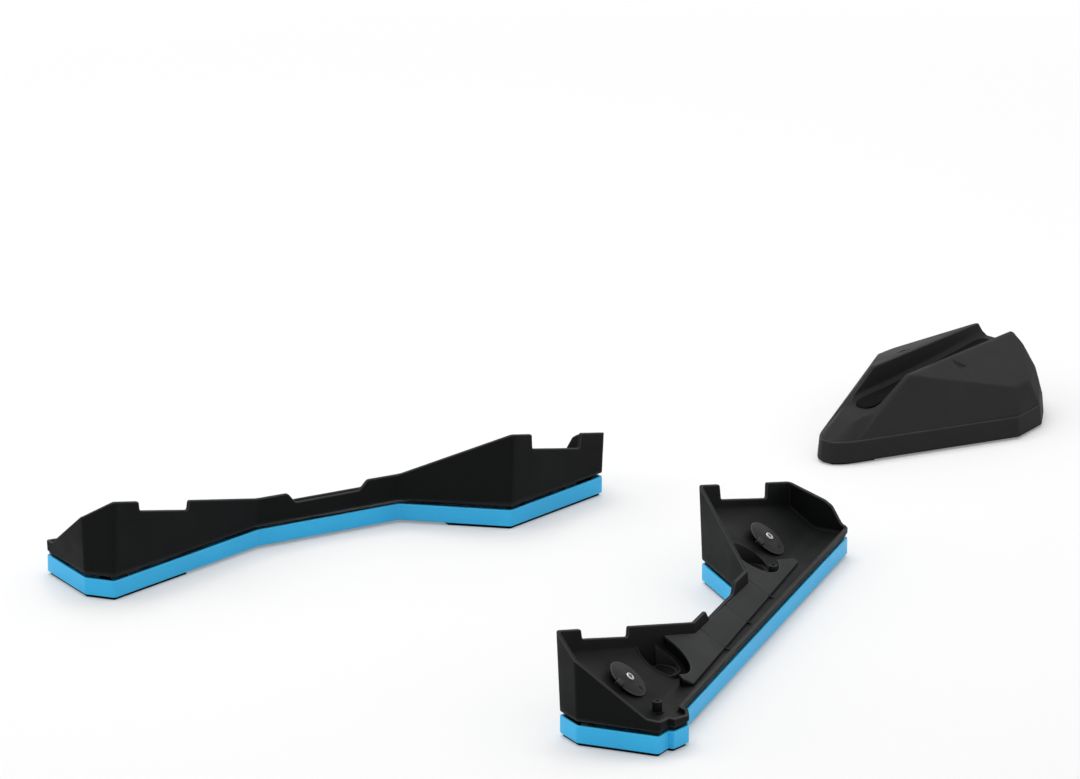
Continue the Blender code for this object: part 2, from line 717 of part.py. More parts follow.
def cheek_frame(x, y):
    """Two side cheeks tied by a cross bar between a pair of rollers."""
    inner = CHEEK_OUTER - CHEEK_THICKNESS
    frame = box((x - CHEEK_OUTER, y - CHEEK_REACH, CHEEK_LOW), (x + CHEEK_OUTER, y + CHEEK_REACH, CHEEK_TOP))
    for side in (-1.0, 1.0):
        centre = y + side * ROLLER_SPACING / 2.0
        gap = ROLLER_RADIUS + CHEEK_END / 2.0
        cut(frame, box((x - inner, centre - gap, -FAR), (x + inner, centre + gap, FAR)))
    return frame


def spine_plan(rear, front):
    """Plan corners of the carriage's spine, as a band about its bent middle line."""
    middle = [rear, (SPINE_REAR_BEND, -SPINE_ACROSS), (SPINE_FRONT_BEND, -SPINE_ACROSS), front]
    left, right = [], []
    for k, (along, across) in enumerate(middle):
        before = Vector(middle[max(k - 1, 0)])
        after = Vector(middle[min(k + 1, len(middle) - 1)])
        heading = (after - before).normalized()
        half = SPINE_WIDTH / 2.0
        left.append((along - heading.y * half, across + heading.x * half))
        right.append((along + heading.y * half, across - heading.x * half))
    return left + right[::-1]


def build_carriage():
    """The rolling frame: two cheek frames, the spine that joins them and the pivot lugs."""
    carriage = cheek_frame(REAR_GEAR_X, REAR_GEAR_Y)
    rear = plate_axes((REAR_GEAR_X, REAR_GEAR_Y + CHEEK_REACH - CHEEK_END))
    front = plate_axes((FRONT_GEAR_X, FRONT_GEAR_Y - CHEEK_REACH + CHEEK_END))
    plan = spine_plan(rear, front)
    spine = loft("spine", [[place(a, c, z) for a, c in plan] for z in (SPINE_LOW, SPINE_TOP)])
    join(carriage, cheek_frame(FRONT_GEAR_X, FRONT_GEAR_Y), spine)
    for along in (REAR_ROCK_ALONG, FRONT_ROCK_ALONG):
        reach = LUG_THICKNESS * 1.5 + LUG_SIDE_GAP
        top = ROCK_HEIGHT + LUG_UNDER_PIN
        span = [(-ROCK_ACROSS - LUG_HALF_WIDTH, CHEEK_LOW), (-ROCK_ACROSS + LUG_HALF_WIDTH, CHEEK_LOW),
                (-ROCK_ACROSS + LUG_HALF_WIDTH, top), (-ROCK_ACROSS - LUG_HALF_WIDTH, top)]
        fork = long_solid(span, along - reach, along + reach)
        join(carriage, fork)
        slot_low = ROCK_HEIGHT - LUG_UNDER_PIN - LUG_SIDE_GAP
        side = LUG_HALF_WIDTH + LUG_SIDE_GAP
        half = LUG_THICKNESS / 2.0 + LUG_SIDE_GAP
        slot = [(-ROCK_ACROSS - side, slot_low), (-ROCK_ACROSS + side, slot_low),
                (-ROCK_ACROSS + side, FAR), (-ROCK_ACROSS - side, FAR)]
        cut(carriage, long_solid(slot, along - half, along + half))
        reach = ROCK_PIN_LENGTH
        start = place(along - reach, -ROCK_ACROSS, ROCK_HEIGHT)
        end = place(along + reach, -ROCK_ACROSS, ROCK_HEIGHT)
        cut(carriage, rod(start, end, ROCK_PIN_RADIUS + RUN_GAP))
    for centre in roller_places():
        side = Vector((CHEEK_OUTER * 2.0, 0.0, 0.0))
        cut(carriage, rod(centre - side, centre + side, AXLE_RADIUS + RUN_GAP))
        room = Vector((ROLLER_WIDTH / 2.0 + CHEEK_SIDE_GAP, 0.0, 0.0))
        cut(carriage, rod(centre - room, centre + room, ROLLER_RADIUS + CHEEK_END / 2.0))
    return finished(carriage, "right_carriage", "steel", (REAR_GEAR_X, REAR_GEAR_Y, SPINE_LOW))


def build_rollers_and_axles():
    """Four rollers with bores, each on an axle held in the cheeks."""
    pieces = []
    half = ROLLER_WIDTH / 2.0
    bore = AXLE_RADIUS + RUN_GAP
    tread = [
        (ROLLER_RADIUS - ROLLER_EDGE, -half),
        (ROLLER_RADIUS, -half + ROLLER_EDGE),
        (ROLLER_RADIUS, half - ROLLER_EDGE),
        (ROLLER_RADIUS - ROLLER_EDGE, half),
    ]
    sideways = Vector((1.0, 0.0, 0.0))
    for number, centre in enumerate(roller_places(), start=1):
        roller = turned(tread, centre, sideways, ROUND_STEPS)
        cut(roller, rod(centre - sideways * ROLLER_WIDTH, centre + sideways * ROLLER_WIDTH, bore))
        pieces.append(finished(roller, f"right_roller_{number}", "roller_nylon", centre, smooth=True))
        shank = CHEEK_OUTER + SEAT_GAP
        profile = [
            (AXLE_HEAD_RADIUS, -shank - AXLE_HEAD),
            (AXLE_HEAD_RADIUS, -shank),
            (AXLE_RADIUS, -shank),
            (AXLE_RADIUS, shank + AXLE_HEAD),
        ]
        axle = turned(profile, centre, sideways, ROUND_STEPS)
        pieces.append(finished(axle, f"right_axle_{number}", "steel", centre, smooth=True))
    return pieces


def build_rock_pins():
    """The two pivot pins that the upper tray rocks on."""
    pieces = []
    for name, along in (("rear", REAR_ROCK_ALONG), ("front", FRONT_ROCK_ALONG)):
        centre = place(along, -ROCK_ACROSS, ROCK_HEIGHT)
        reach = LUG_THICKNESS * 1.5 + LUG_SIDE_GAP + ROCK_PIN_END
        pin = rod(centre - ALONG * reach, centre + ALONG * reach, ROCK_PIN_RADIUS)
        pieces.append(finished(pin, f"right_rock_pin_{name}", "steel", centre, smooth=True))
    return pieces


def wall_ring():
    """The tray's leaning wall, with its stepped and notched top edge."""
    loops = [[], [], [], []]
    for point, outward, height in outline_stations():
        for loop, offset, z in (
            (loops[0], 0.0, TRAY_LOW),
            (loops[1], lean(height), height),
            (loops[2], lean(height) - TRAY_WALL, height),
            (loops[3], -TRAY_WALL, TRAY_LOW - WALL_HEEL),
        ):
            moved = point + outward * offset
            loop.append(place(moved[1], moved[0], z))
    count = len(loops[0])
    points = [point for loop in loops for point in loop]
    faces = []
    for row in range(4):
        low, high = row * count, (row + 1) % 4 * count
        for k in range(count):
            after = (k + 1) % count
            faces.append((low + k, low + after, high + after, high + k))
    return solid("wall", points, faces)


def foot_places():
    """The two round foot seats as (name, along, across)."""
    return (
        ("rear", FOOT_REAR_ALONG, -FOOT_REAR_ACROSS),
        ("front", FOOT_FRONT_ALONG, -FOOT_FRONT_ACROSS),
    )


def floor_top_section(raise_by):
    """The line of the tray's floor, raised, as (across, height) from the rim inward."""
    bend = slope_across(GUTTER_TOP, POCKET_DROP)
    return [
        (FAR, GUTTER_TOP + raise_by),
        (bend, GUTTER_TOP + raise_by),
        (-FAR, slope_top(-FAR, POCKET_DROP) + raise_by),
    ]


def disc_axis():
    """Direction that the lock discs face."""
    return ACROSS * math.sin(DISC_TILT) + UP * math.cos(DISC_TILT)


def disc_places():
    """The middle of each lock disc's dome, as (name, point)."""
    return (
        ("rear", place(DISC_REAR_ALONG, -DISC_REAR_ACROSS, DISC_REAR_TOP)),
        ("front", place(DISC_FRONT_ALONG, -DISC_FRONT_ACROSS, DISC_FRONT_TOP)),
    )


def tray_floor():
    """Gutter and pocket floor in one bent plate, with the foot seats and lugs under it."""
    bend = slope_across(GUTTER_TOP - GUTTER_FLOOR, POCKET_DROP + POCKET_FLOOR)
    under = [
        (-FAR, slope_top(-FAR, POCKET_DROP + POCKET_FLOOR)),
        (bend, GUTTER_TOP - GUTTER_FLOOR),
        (FAR, GUTTER_TOP - GUTTER_FLOOR),
    ]
    floor = long_solid(floor_top_section(0.0) + under, -FAR, FAR)
    lip = CUP_FLOOR_TOP + CUP_LIP
    over = [
        (FAR, lip),
        (slope_across(lip, POCKET_DROP - CUP_BEAD), lip),
        (-FAR, slope_top(-FAR, POCKET_DROP - CUP_BEAD)),
        (-FAR, 2.0 * FAR),
        (FAR, 2.0 * FAR),
    ]
    for _, along, across in foot_places():
        seat = upright(along, across, CUP_FLOOR_TOP - CUP_FLOOR, FAR / 2.0, CUP_RADIUS + CUP_WALL)
        join(floor, cut(seat, long_solid(over, -2.0 * FAR, 2.0 * FAR)))
    for along in (REAR_ROCK_ALONG, FRONT_ROCK_ALONG):
        low = ROCK_HEIGHT - LUG_UNDER_PIN
        sides = (-ROCK_ACROSS - LUG_HALF_WIDTH, -ROCK_ACROSS + LUG_HALF_WIDTH)
        section = [(side, slope_top(side, POCKET_DROP + POCKET_FLOOR / 2.0)) for side in sides]
        section = [(sides[0], low), (sides[1], low), *section[::-1]]
        join(floor, long_solid(section, along - LUG_THICKNESS / 2.0, along + LUG_THICKNESS / 2.0))
    return clip(floor, tray_inside(FLOOR_INSET))


def build_tray():
    """The upper tray: leaning walls, floor, gutter ribs, foot seats, disc bosses and pegs."""
    tray = join(wall_ring(), tray_floor())
    buried = GUTTER_TOP - GUTTER_FLOOR / 2.0
    for at in SEAM_PLACES:
        inner = -DECK_OUTER_ACROSS + RUN_GAP
        section = [(inner, buried), (-RIB_OUTER_ACROSS, buried), (-RIB_OUTER_ACROSS, GUTTER_TOP + CUP_BEAD),
                   (inner, slope_top(inner, 0.0))]
        join(tray, long_solid(section, at - RIB_THICKNESS / 2.0, at + RIB_THICKNESS / 2.0))
    for _, along, across in foot_places():
        room = upright(along, across, CUP_FLOOR_TOP, FAR / 2.0, CUP_RADIUS)
        cut(tray, clip(room, beside_inner_wall(TRAY_WALL)))
    for along, across in ((PEG_REAR_ALONG, -PEG_REAR_ACROSS), (PEG_FRONT_ALONG, -PEG_FRONT_ACROSS)):
        root = GUTTER_TOP - GUTTER_FLOOR - PEG_ROOT
        join(tray, upright(along, across, root, PEG_TOP, PEG_RADIUS, ROUND_STEPS))
    axis = disc_axis()
    thickness = DISC_RIM + DISC_DOME + SEAT_GAP
    for _, centre in disc_places():
        join(tray, rod(centre - axis * DISC_BOSS_REACH, centre - axis * thickness, DISC_BOSS_RADIUS))
        cut(tray, rod(centre - axis * SCREW_REACH * 2.0, centre, SCREW_RADIUS + RUN_GAP))
    for along in (REAR_ROCK_ALONG, FRONT_ROCK_ALONG):
        start = place(along - LUG_THICKNESS, -ROCK_ACROSS, ROCK_HEIGHT)
        end = place(along + LUG_THICKNESS, -ROCK_ACROSS, ROCK_HEIGHT)
        cut(tray, rod(start, end, ROCK_PIN_RADIUS + RUN_GAP))
    return finished(tray, "right_tray", "tray_black", ROCK_CENTRE)


def inset_plan(points, inset):
    """The corners of a plan, given anticlockwise, moved inward by inset."""
    points = [Vector(point) for point in points]
    moved = []
    for k, point in enumerate(points):
        before = (point - points[k - 1]).normalized()
        after = (points[(k + 1) % len(points)] - point).normalized()
        first, second = Vector((-before.y, before.x)), Vector((-after.y, after.x))
        moved.append(point + (first + second) * inset / (1.0 + first.dot(second)))
    return moved


def deck_plan():
    """Plan corners of the deck panel, as (along, across); its inner side runs past the wall."""
    beyond = -FRONT_LOBE_WIDTH
    return [
        (DECK_REAR, -DECK_REAR_CORNER),
        (DECK_REAR + DECK_REAR_SLANT, -DECK_BEND_ACROSS),
        (FOOT_REAR_ALONG, -FOOT_REAR_ACROSS),
        (FOOT_REAR_ALONG + DECK_FOOT_RADIUS, -FOOT_REAR_ACROSS),
        (FOOT_REAR_ALONG + DECK_FOOT_RADIUS, beyond),
        (FOOT_FRONT_ALONG - DECK_FOOT_RADIUS, beyond),
        (FOOT_FRONT_ALONG - DECK_FOOT_RADIUS, -FOOT_FRONT_ACROSS),
        (FOOT_FRONT_ALONG, -FOOT_FRONT_ACROSS),
        (DECK_FRONT_BEND, -DECK_BEND_ACROSS),
        (DECK_FRONT, -DECK_FRONT_CORNER),
        (DECK_FRONT, -DECK_OUTER_ACROSS),
        (DECK_REAR_TIP, -DECK_OUTER_ACROSS),
    ]


def beside_inner_wall(inset):
    """The room on the rim side of the inner wall, inset from its leaning outer face."""
    corners = [
        (REAR_PEAK, -REAR_LOBE_WIDTH),
        (NECK_REAR, -NECK_REAR_WIDTH),
        (NECK_FRONT, -NECK_FRONT_WIDTH),
        (FRONT_PEAK, -FRONT_LOBE_WIDTH),
        (FRONT_PEAK, FAR),
        (REAR_PEAK, FAR),
    ]
    loops = []
    for height in (BASE_LOW, REAR_PEAK_TOP):
        plan = inset_plan(corners, inset - lean(height))
        loops.append([place(along, across, height) for along, across in plan])
    return loft("room", loops)


def deck_solid(inset, drop, low_gap):
    """The deck's shape between floor and deck plane, clear of walls, feet and the front peg."""
    outer = -DECK_OUTER_ACROSS - inset
    section = [(outer, slope_top(outer, drop)), (-FAR, slope_top(-FAR, drop))]
    under = floor_top_section(low_gap)
    section += [under[2], under[1], (outer, under[0][1])]
    panel = long_solid(section, -FAR, FAR)
    plan = inset_plan(deck_plan(), inset)
    clip(panel, loft("plan", [[place(a, c, z) for a, c in plan] for z in (-FAR, FAR)]))
    clip(panel, beside_inner_wall(TRAY_WALL + SEAT_GAP + inset))
    for _, along, across in foot_places():
        cut(panel, upright(along, across, -FAR, FAR, DECK_FOOT_RADIUS + inset))
    return panel


def build_deck():
    """The sloping deck panel that the trainer's leg lies over, hollow underneath."""
    deck = deck_solid(0.0, 0.0, SEAT_GAP)
    cut(deck, deck_solid(DECK_WALL, DECK_WALL / math.cos(SLOPE), -DECK_WALL))
    for at in SEAM_PLACES:
        section = [(FAR, slope_top(FAR, SEAM_DEPTH)), (FAR, FAR * 2.0), (-FAR, FAR * 2.0),
                   (-FAR, slope_top(-FAR, SEAM_DEPTH))]
        cut(deck, long_solid(section, at - SEAM_WIDTH / 2.0, at + SEAM_WIDTH / 2.0))
    return finished(deck, "right_deck_panel", "deck_grey", ROCK_CENTRE)


def build_foot_cups():
    """Rubber cups in the foot seats, each with a shallow dish."""
    pieces = []
    for name, along, across in foot_places():
        low = CUP_FLOOR_TOP + SEAT_GAP
        cup = upright(along, across, low, low + CUP_INSERT, CUP_RADIUS - RUN_GAP)
        clip(cup, beside_inner_wall(TRAY_WALL + RUN_GAP))
        dish = upright(along, across, low + CUP_INSERT - CUP_DISH, FAR, CUP_RADIUS - CUP_RIM)
        cut(cup, clip(dish, beside_inner_wall(TRAY_WALL + CUP_RIM)))
        pieces.append(finished(cup, f"right_foot_cup_{name}", "rubber", ROCK_CENTRE, smooth=True))
    return pieces


def build_discs():
    """Domed lock discs, the screws they turn on, and the hooked latches at their edge."""
    pieces = []
    axis = disc_axis()
    downhill = ALONG.cross(axis)
    if downhill.z > 0.0:
        downhill = -downhill
    steps = 5
    for name, centre in disc_places():
        profile = [(DISC_RADIUS, -DISC_DOME - DISC_RIM), (DISC_RADIUS, -DISC_DOME)]
        for k in range(1, steps):
            radius = DISC_RADIUS * (1.0 - k / steps)
            profile.append((radius, -DISC_DOME * (radius / DISC_RADIUS) ** 2))
        profile.append((SCREW_HEAD_RADIUS / 3.0, 0.0))
        disc = turned(profile, centre, axis, FINE_STEPS)
        cut(disc, rod(centre - axis * FAR / 10.0, centre + axis * FAR / 10.0, SCREW_RADIUS + RUN_GAP))
        sink = -SCREW_SINK - SEAT_GAP
        cut(disc, rod(centre + axis * sink, centre + axis * FAR / 10.0, SCREW_HEAD_RADIUS + RUN_GAP))
        mark_low = -DISC_DOME * (DISC_MARK_RADIUS / DISC_RADIUS) ** 2 - DISC_MARK_DEPTH
        mark = []
        for height in (mark_low, FAR / 10.0):
            for a, b in ((-0.5, 0.0), (0.5, 0.0), (0.5, 1.0), (-0.5, 1.0)):
                reach = DISC_MARK_RADIUS + (b - 1.0) * DISC_MARK_WIDTH
                spot = ALONG * a * DISC_MARK_LENGTH + downhill * reach
                mark.append(centre + spot + axis * height)
        cut(disc, loft("mark", [mark[:4], mark[4:]]))
        pieces.append(finished(disc, f"right_lock_disc_{name}", "disc_grey", centre, smooth=True))
        profile = [
            (SCREW_RADIUS, -SCREW_REACH),
            (SCREW_RADIUS, -SCREW_SINK),
            (SCREW_HEAD_RADIUS, -SCREW_SINK),
            (SCREW_HEAD_RADIUS, SCREW_HEAD_HEIGHT * 0.7 - SCREW_SINK),
            (SCREW_HEAD_RADIUS * 0.75, SCREW_HEAD_HEIGHT - SCREW_SINK),
        ]
        screw = turned(profile, centre, axis, ROUND_STEPS)
        pieces.append(finished(screw, f"right_disc_screw_{name}", "screw_bright", centre, smooth=True))
        pieces.append(build_latch(name, centre, axis, downhill))
    return pieces


def build_latch(name, centre, axis, downhill):
    """A post behind the disc with a hook over its edge, standing on the pocket floor."""
    near = -DISC_RADIUS - LATCH_GAP
    far = near - LATCH_LENGTH
    tip = near + LATCH_HOOK_REACH
    edge_top = -DISC_DOME * (tip / DISC_RADIUS) ** 2
    hook_low = edge_top + LATCH_HOOK_GAP
    hook_top = hook_low + LATCH_HOOK_THICKNESS
    foot = -SCREW_REACH * 2.0
    side = [(far, foot), (near, foot), (near, hook_low), (tip, hook_low), (tip, hook_top), (far, hook_top)]
    loops = []
    for across in (-LATCH_SHIFT - LATCH_WIDTH / 2.0, -LATCH_SHIFT + LATCH_WIDTH / 2.0):
        loops.append([centre + ALONG * a + downhill * across + axis * b for a, b in side])
    latch = loft("latch", loops)
    below = [*floor_top_section(SEAT_GAP), (-FAR, -FAR), (FAR, -FAR)]
    cut(latch, long_solid(below, -FAR, FAR))
    return finished(latch, f"right_latch_{name}", "disc_grey", ROCK_CENTRE)


def block_point(x, y, z):
    """A point of the front-wheel block, measured from its nose on the floor."""
    return Vector((BLOCK_SIDE_SHIFT + x, BLOCK_Y + y, z))


def both_sides(points):
    """The points and their mirror images across the block's middle plane."""
    return [block_point(side * x, y, z) for side in (-1.0, 1.0) for x, y, z in points]


def block_plan(inset, whole=True):
    """Plan of the block's skirt, inset all round; the part behind the cheeks is left off on request."""
    hip_front = BLOCK_HIP_PLACE + BLOCK_HIP_LENGTH
    front_place = BLOCK_LENGTH - BLOCK_FRONT_HALF * 0.9
    outline = [
        (BLOCK_NOSE_HALF, 0.0),
        (BLOCK_NOSE_HALF * 2.0, BLOCK_CHEEK_PLACE * 0.3),
        (BLOCK_CHEEK_HALF * 0.84, BLOCK_CHEEK_PLACE * 0.62),
        (BLOCK_CHEEK_HALF, BLOCK_CHEEK_PLACE),
        (BLOCK_HIP_HALF, BLOCK_HIP_PLACE),
        (BLOCK_HIP_HALF - 6.4 * MM, hip_front),
        (BLOCK_HIP_HALF * 0.71, front_place),
        (BLOCK_FRONT_HALF, BLOCK_LENGTH),
    ]
    if not whole:
        outline = [point for point in outline if point[1] >= BLOCK_CHEEK_PLACE]
    return inset_plan([(-x, y) for x, y in outline[::-1]] + outline, inset)


def block_prism(inset, low, high, whole=True):
    """The skirt's plan, inset, as an upright solid."""
    plan = block_plan(inset, whole)
    return loft("prism", [[block_point(x, y, z) for x, y in plan] for z in (low, high)])


def skirt_ring(inset, height, start=0.0):
    """Right-hand points of the skirt's plan, inset, at a height, from a place on."""
    return [(p.x, p.y, height) for p in block_plan(inset) if p.x > 0.0 and p.y >= start]


def groove_floor(y):
    """Height of the groove's floor: a curve down to its low place and a straight climb to the front."""
    if y < GROOVE_LOW_PLACE:
        part = (GROOVE_LOW_PLACE - y) / (GROOVE_LOW_PLACE - LIP_PLACE)
        return GROOVE_LOW_TOP - (GROOVE_LOW_TOP - GROOVE_MOUTH_TOP) * part * part
    part = (y - GROOVE_LOW_PLACE) / (BLOCK_LENGTH - GROOVE_LOW_PLACE)
    return GROOVE_LOW_TOP + (GROOVE_EXIT_TOP - GROOVE_LOW_TOP) * part ** 1.3


def groove_solid(grow, start, end):
    """The groove as a solid with bent sides, grown outward for the wall around it."""
    loops = []
    for y in np.linspace(start, end, 13):
        low = groove_floor(y) - grow
        half = [
            (GROOVE_FLOOR_HALF + grow, low),
            (GROOVE_SIDE_HALF + grow, low + GROOVE_BEND),
            (GROOVE_TOP_HALF + grow, RIDGE_FRONT_TOP + BLOCK_WALL),
        ]
        section = [*half, *[(-x, z) for x, z in half[::-1]]]
        loops.append([block_point(x, y, z) for x, z in section])
    return loft("groove", loops)


def shoulder_points(inset, drop):
    """Corners of the block's ridge and shoulder, moved in from the outer faces."""
    half = SHOULDER_HALF - 1.4 * inset
    top = SHOULDER_TOP - drop * 0.6
    return [
        (RIDGE_HALF - inset, RIDGE_REAR + 2.0 * inset, RIDGE_REAR_TOP - drop),
        (RIDGE_HALF - inset, RIDGE_FRONT - 2.0 * inset, RIDGE_FRONT_TOP - drop),
        (half, SHOULDER_PLACE, top),
        (half, SHOULDER_PLACE + SHOULDER_LENGTH - inset * 0.5, top),
    ]


def block_cavity():
    """The hollow under the block: an opening inside the flange, the skirt's room and the shoulders."""
    low = BLOCK_FOOT_GAP + BLOCK_FLANGE_HEIGHT
    shelf = BLOCK_SKIRT_TOP - BLOCK_WALL / 2.0
    cavity = block_prism(BLOCK_FLANGE, -FAR, low + BLOCK_WALL, whole=False)
    join(cavity, block_prism(BLOCK_WALL, low, shelf, whole=False))
    core_start = MOUTH_PLACE - BLOCK_WALL
    core = [(GROOVE_TOP_HALF + BLOCK_WALL, y, groove_floor(y) - BLOCK_WALL * 1.2)
            for y in (MOUTH_PLACE, GROOVE_LOW_PLACE, BLOCK_LENGTH - 3.5 * BLOCK_WALL)]
    ring = skirt_ring(BLOCK_WALL * 1.6, shelf - BLOCK_WALL, core_start)
    join(cavity, hull("core", both_sides(core + ring)))
    for side in (-1.0, 1.0):
        inner = GROOVE_TOP_HALF + BLOCK_WALL
        points = [(max(x, inner), y, z) for x, y, z in shoulder_points(BLOCK_WALL, BLOCK_WALL * 1.6)]
        points += [(max(x, inner), y, z) for x, y, z in ring]
        join(cavity, hull("shoulder", [block_point(side * x, y, z) for x, y, z in points]))
    return cavity


def build_block():
    """The front-wheel block: a moulded shell with a groove, its liner and its two pads."""
    shell = block_prism(0.0, BLOCK_FOOT_GAP, BLOCK_SKIRT_TOP)
    base = skirt_ring(BLOCK_SKIRT_STEP, BLOCK_SKIRT_TOP - BLOCK_SKIRT_STEP, BLOCK_CHEEK_PLACE * 0.8)
    mouth = [(MOUTH_HALF, MOUTH_PLACE, MOUTH_TOP)]
    body = hull("body", both_sides(base + mouth + shoulder_points(0.0, 0.0)))
    nose_ring = [p for p in skirt_ring(BLOCK_SKIRT_STEP * 2.0, BLOCK_SKIRT_TOP - BLOCK_SKIRT_STEP)
                 if p[1] < MOUTH_PLACE]
    nose = hull("nose", both_sides([*nose_ring, *mouth, (LIP_HALF, LIP_PLACE, LIP_TOP),
                                    (MOUTH_HALF, MOUTH_PLACE + BLOCK_WALL, BLOCK_SKIRT_TOP - BLOCK_WALL)]))
    join(shell, body, nose)
    cut(shell, groove_solid(0.0, LIP_PLACE - BLOCK_WALL, BLOCK_LENGTH + BLOCK_WALL))
    cut(shell, block_cavity())
    cut_marks(shell)
    finished(shell, "block_shell", "block_black", block_point(0.0, 0.0, 0.0))
    loops = []
    for y in np.linspace(LINER_START, LINER_END, 12):
        low = groove_floor(y) + SEAT_GAP
        section = [(-LINER_HALF, low), (LINER_HALF, low), (LINER_HALF, low + LINER_THICKNESS),
                   (-LINER_HALF, low + LINER_THICKNESS)]
        loops.append([block_point(x, y, z) for x, z in section])
    finished(loft("liner", loops), "block_wheel_liner", "rubber", block_point(0.0, 0.0, 0.0))
    for name, start, end in (
        ("nose", 0.0, BLOCK_NOSE_PAD_END),
        ("front", BLOCK_FRONT_PAD_START, BLOCK_LENGTH),
    ):
        pad = block_prism(BLOCK_PAD_INSET, 0.0, BLOCK_FOOT_GAP - SEAT_GAP)
        clip(pad, box(block_point(-FAR, start, -FAR), block_point(FAR, end, FAR)))
        finished(pad, f"block_pad_{name}", "rubber", block_point(0.0, 0.0, 0.0))


def cut_marks(shell):
    """Cuts a plain arrow mark into the upper face of each shoulder."""
    ridge = Vector((RIDGE_HALF, RIDGE_REAR, RIDGE_REAR_TOP))
    crease = Vector((SHOULDER_HALF, SHOULDER_PLACE, SHOULDER_TOP))
    ridge_end = Vector((RIDGE_HALF, RIDGE_FRONT, RIDGE_FRONT_TOP))
    normal = (ridge_end - ridge).cross(crease - ridge).normalized()
    if normal.z < 0.0:
        normal = -normal
    for side in (-1.0, 1.0):
        loops = []
        for depth in (-MARK_DEPTH, FAR / 100.0):
            loop = []
            for dx, dy in ((0.0, 0.5), (-0.5, -0.5), (0.5, -0.5)):
                x = MARK_SIDE + dx * MARK_WIDTH
                y = MARK_PLACE + dy * MARK_LENGTH
                z = ridge.z - (normal.x * (x - ridge.x) + normal.y * (y - ridge.y)) / normal.z
                point = Vector((x, y, z)) + normal * depth
                loop.append(block_point(side * point.x, point.y, point.z))
            loops.append(loop)
        cut(shell, loft("mark", loops))


def build():
    """The whole set."""
    for obj in list(bpy.data.objects):
        bpy.data.objects.remove(obj, do_unlink=True)
    right = [build_base(), *build_pads(), *build_rails_and_bumpers(), build_carriage()]
    right += [*build_rollers_and_axles(), *build_rock_pins(), build_tray(), build_deck()]
    right += [*build_foot_cups(), *build_discs()]
    for obj in right:
        mirrored(obj)
    build_block()


build()
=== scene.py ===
"""Visual model of a rocker plate set: two mirrored plates and a grooved wheel block.

Each plate is a blue base, a rolling carriage and a black tray that rocks on it. Shapes are
numpy surfaces: functions of two parameters on a grid, or profiles carried along a path. Lengths
are metres. Plate shapes are worked out as (along, across, height) in the plate's own axes.
"""

import logging
import math
from collections.abc import Sequence
from dataclasses import dataclass, field
from enum import Enum

import bmesh
import bpy
import numpy as np
from mathutils import Matrix, Vector
from mathutils.geometry import delaunay_2d_cdt


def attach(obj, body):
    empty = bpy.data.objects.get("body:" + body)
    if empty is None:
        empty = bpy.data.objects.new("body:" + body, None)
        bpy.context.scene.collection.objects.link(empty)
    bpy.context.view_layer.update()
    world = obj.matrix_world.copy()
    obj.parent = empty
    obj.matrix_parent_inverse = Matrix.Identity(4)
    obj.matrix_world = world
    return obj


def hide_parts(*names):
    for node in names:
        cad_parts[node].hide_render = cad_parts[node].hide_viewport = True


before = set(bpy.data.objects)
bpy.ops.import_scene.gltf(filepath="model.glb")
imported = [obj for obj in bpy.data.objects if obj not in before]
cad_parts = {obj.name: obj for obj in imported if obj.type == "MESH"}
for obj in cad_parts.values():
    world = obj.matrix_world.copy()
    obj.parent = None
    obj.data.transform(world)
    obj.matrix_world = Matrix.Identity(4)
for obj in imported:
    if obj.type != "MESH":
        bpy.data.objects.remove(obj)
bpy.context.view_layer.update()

MM = 0.001
LOG = logging.getLogger("rocker_plate")
Array = np.ndarray

FILLET_SHARE = 0.42
CLEAR_SHARE = 0.45
MERGE_DISTANCE = 1e-6
NOISE_LOW, NOISE_HIGH = 0.3, 0.7


class Side(Enum):
    """Which plate of the mirrored pair."""

    RIGHT = 1
    LEFT = -1

    @property
    def label(self) -> str:
        """Prefix of the side's node names."""
        return self.name.lower()


class End(Enum):
    """The two ends of a plate."""

    REAR = "rear"
    FRONT = "front"


def linear(red: float, green: float, blue: float) -> tuple[float, float, float, float]:
    """Turns 0 to 255 display values into a linear colour.

    Args:
        red, green, blue: display values.

    Returns:
        The linear colour with full alpha.
    """
    values = np.array([red, green, blue]) / 255.0
    low = values / 12.92
    high = ((values + 0.055) / 1.055) ** 2.4
    r, g, b = np.where(values <= 0.04045, low, high)
    return float(r), float(g), float(b), 1.0


def smooth_step(value: Array) -> Array:
    """Rises from 0 to 1 as value goes from 0 to 1, as 3v^2 - 2v^3, flat outside."""
    v = np.clip(value, 0.0, 1.0)
    return v * v * (3.0 - 2.0 * v)


def soft_max(first: Array, second: Array, blend: float) -> Array:
    """The larger of two heights with the crease between them rounded.

    The result is the mean plus half the root of the squared difference plus blend squared.

    Args:
        first, second: heights.
        blend: twice the height by which the crease is lifted.

    Returns:
        The rounded maximum.
    """
    return 0.5 * (first + second + np.sqrt((first - second) ** 2 + blend * blend))


def soft_min(heights: Array, blend: float) -> Array:
    """The lowest of several heights, rounded where they meet.

    Minus blend times the logarithm of the summed exponentials of minus height over blend.

    Args:
        heights: heights, with one surface per row of the first axis.
        blend: size of the rounding.

    Returns:
        The rounded minimum.
    """
    floor = heights.min(axis=0)
    return floor - blend * np.log(np.exp((floor - heights) / blend).sum(axis=0))


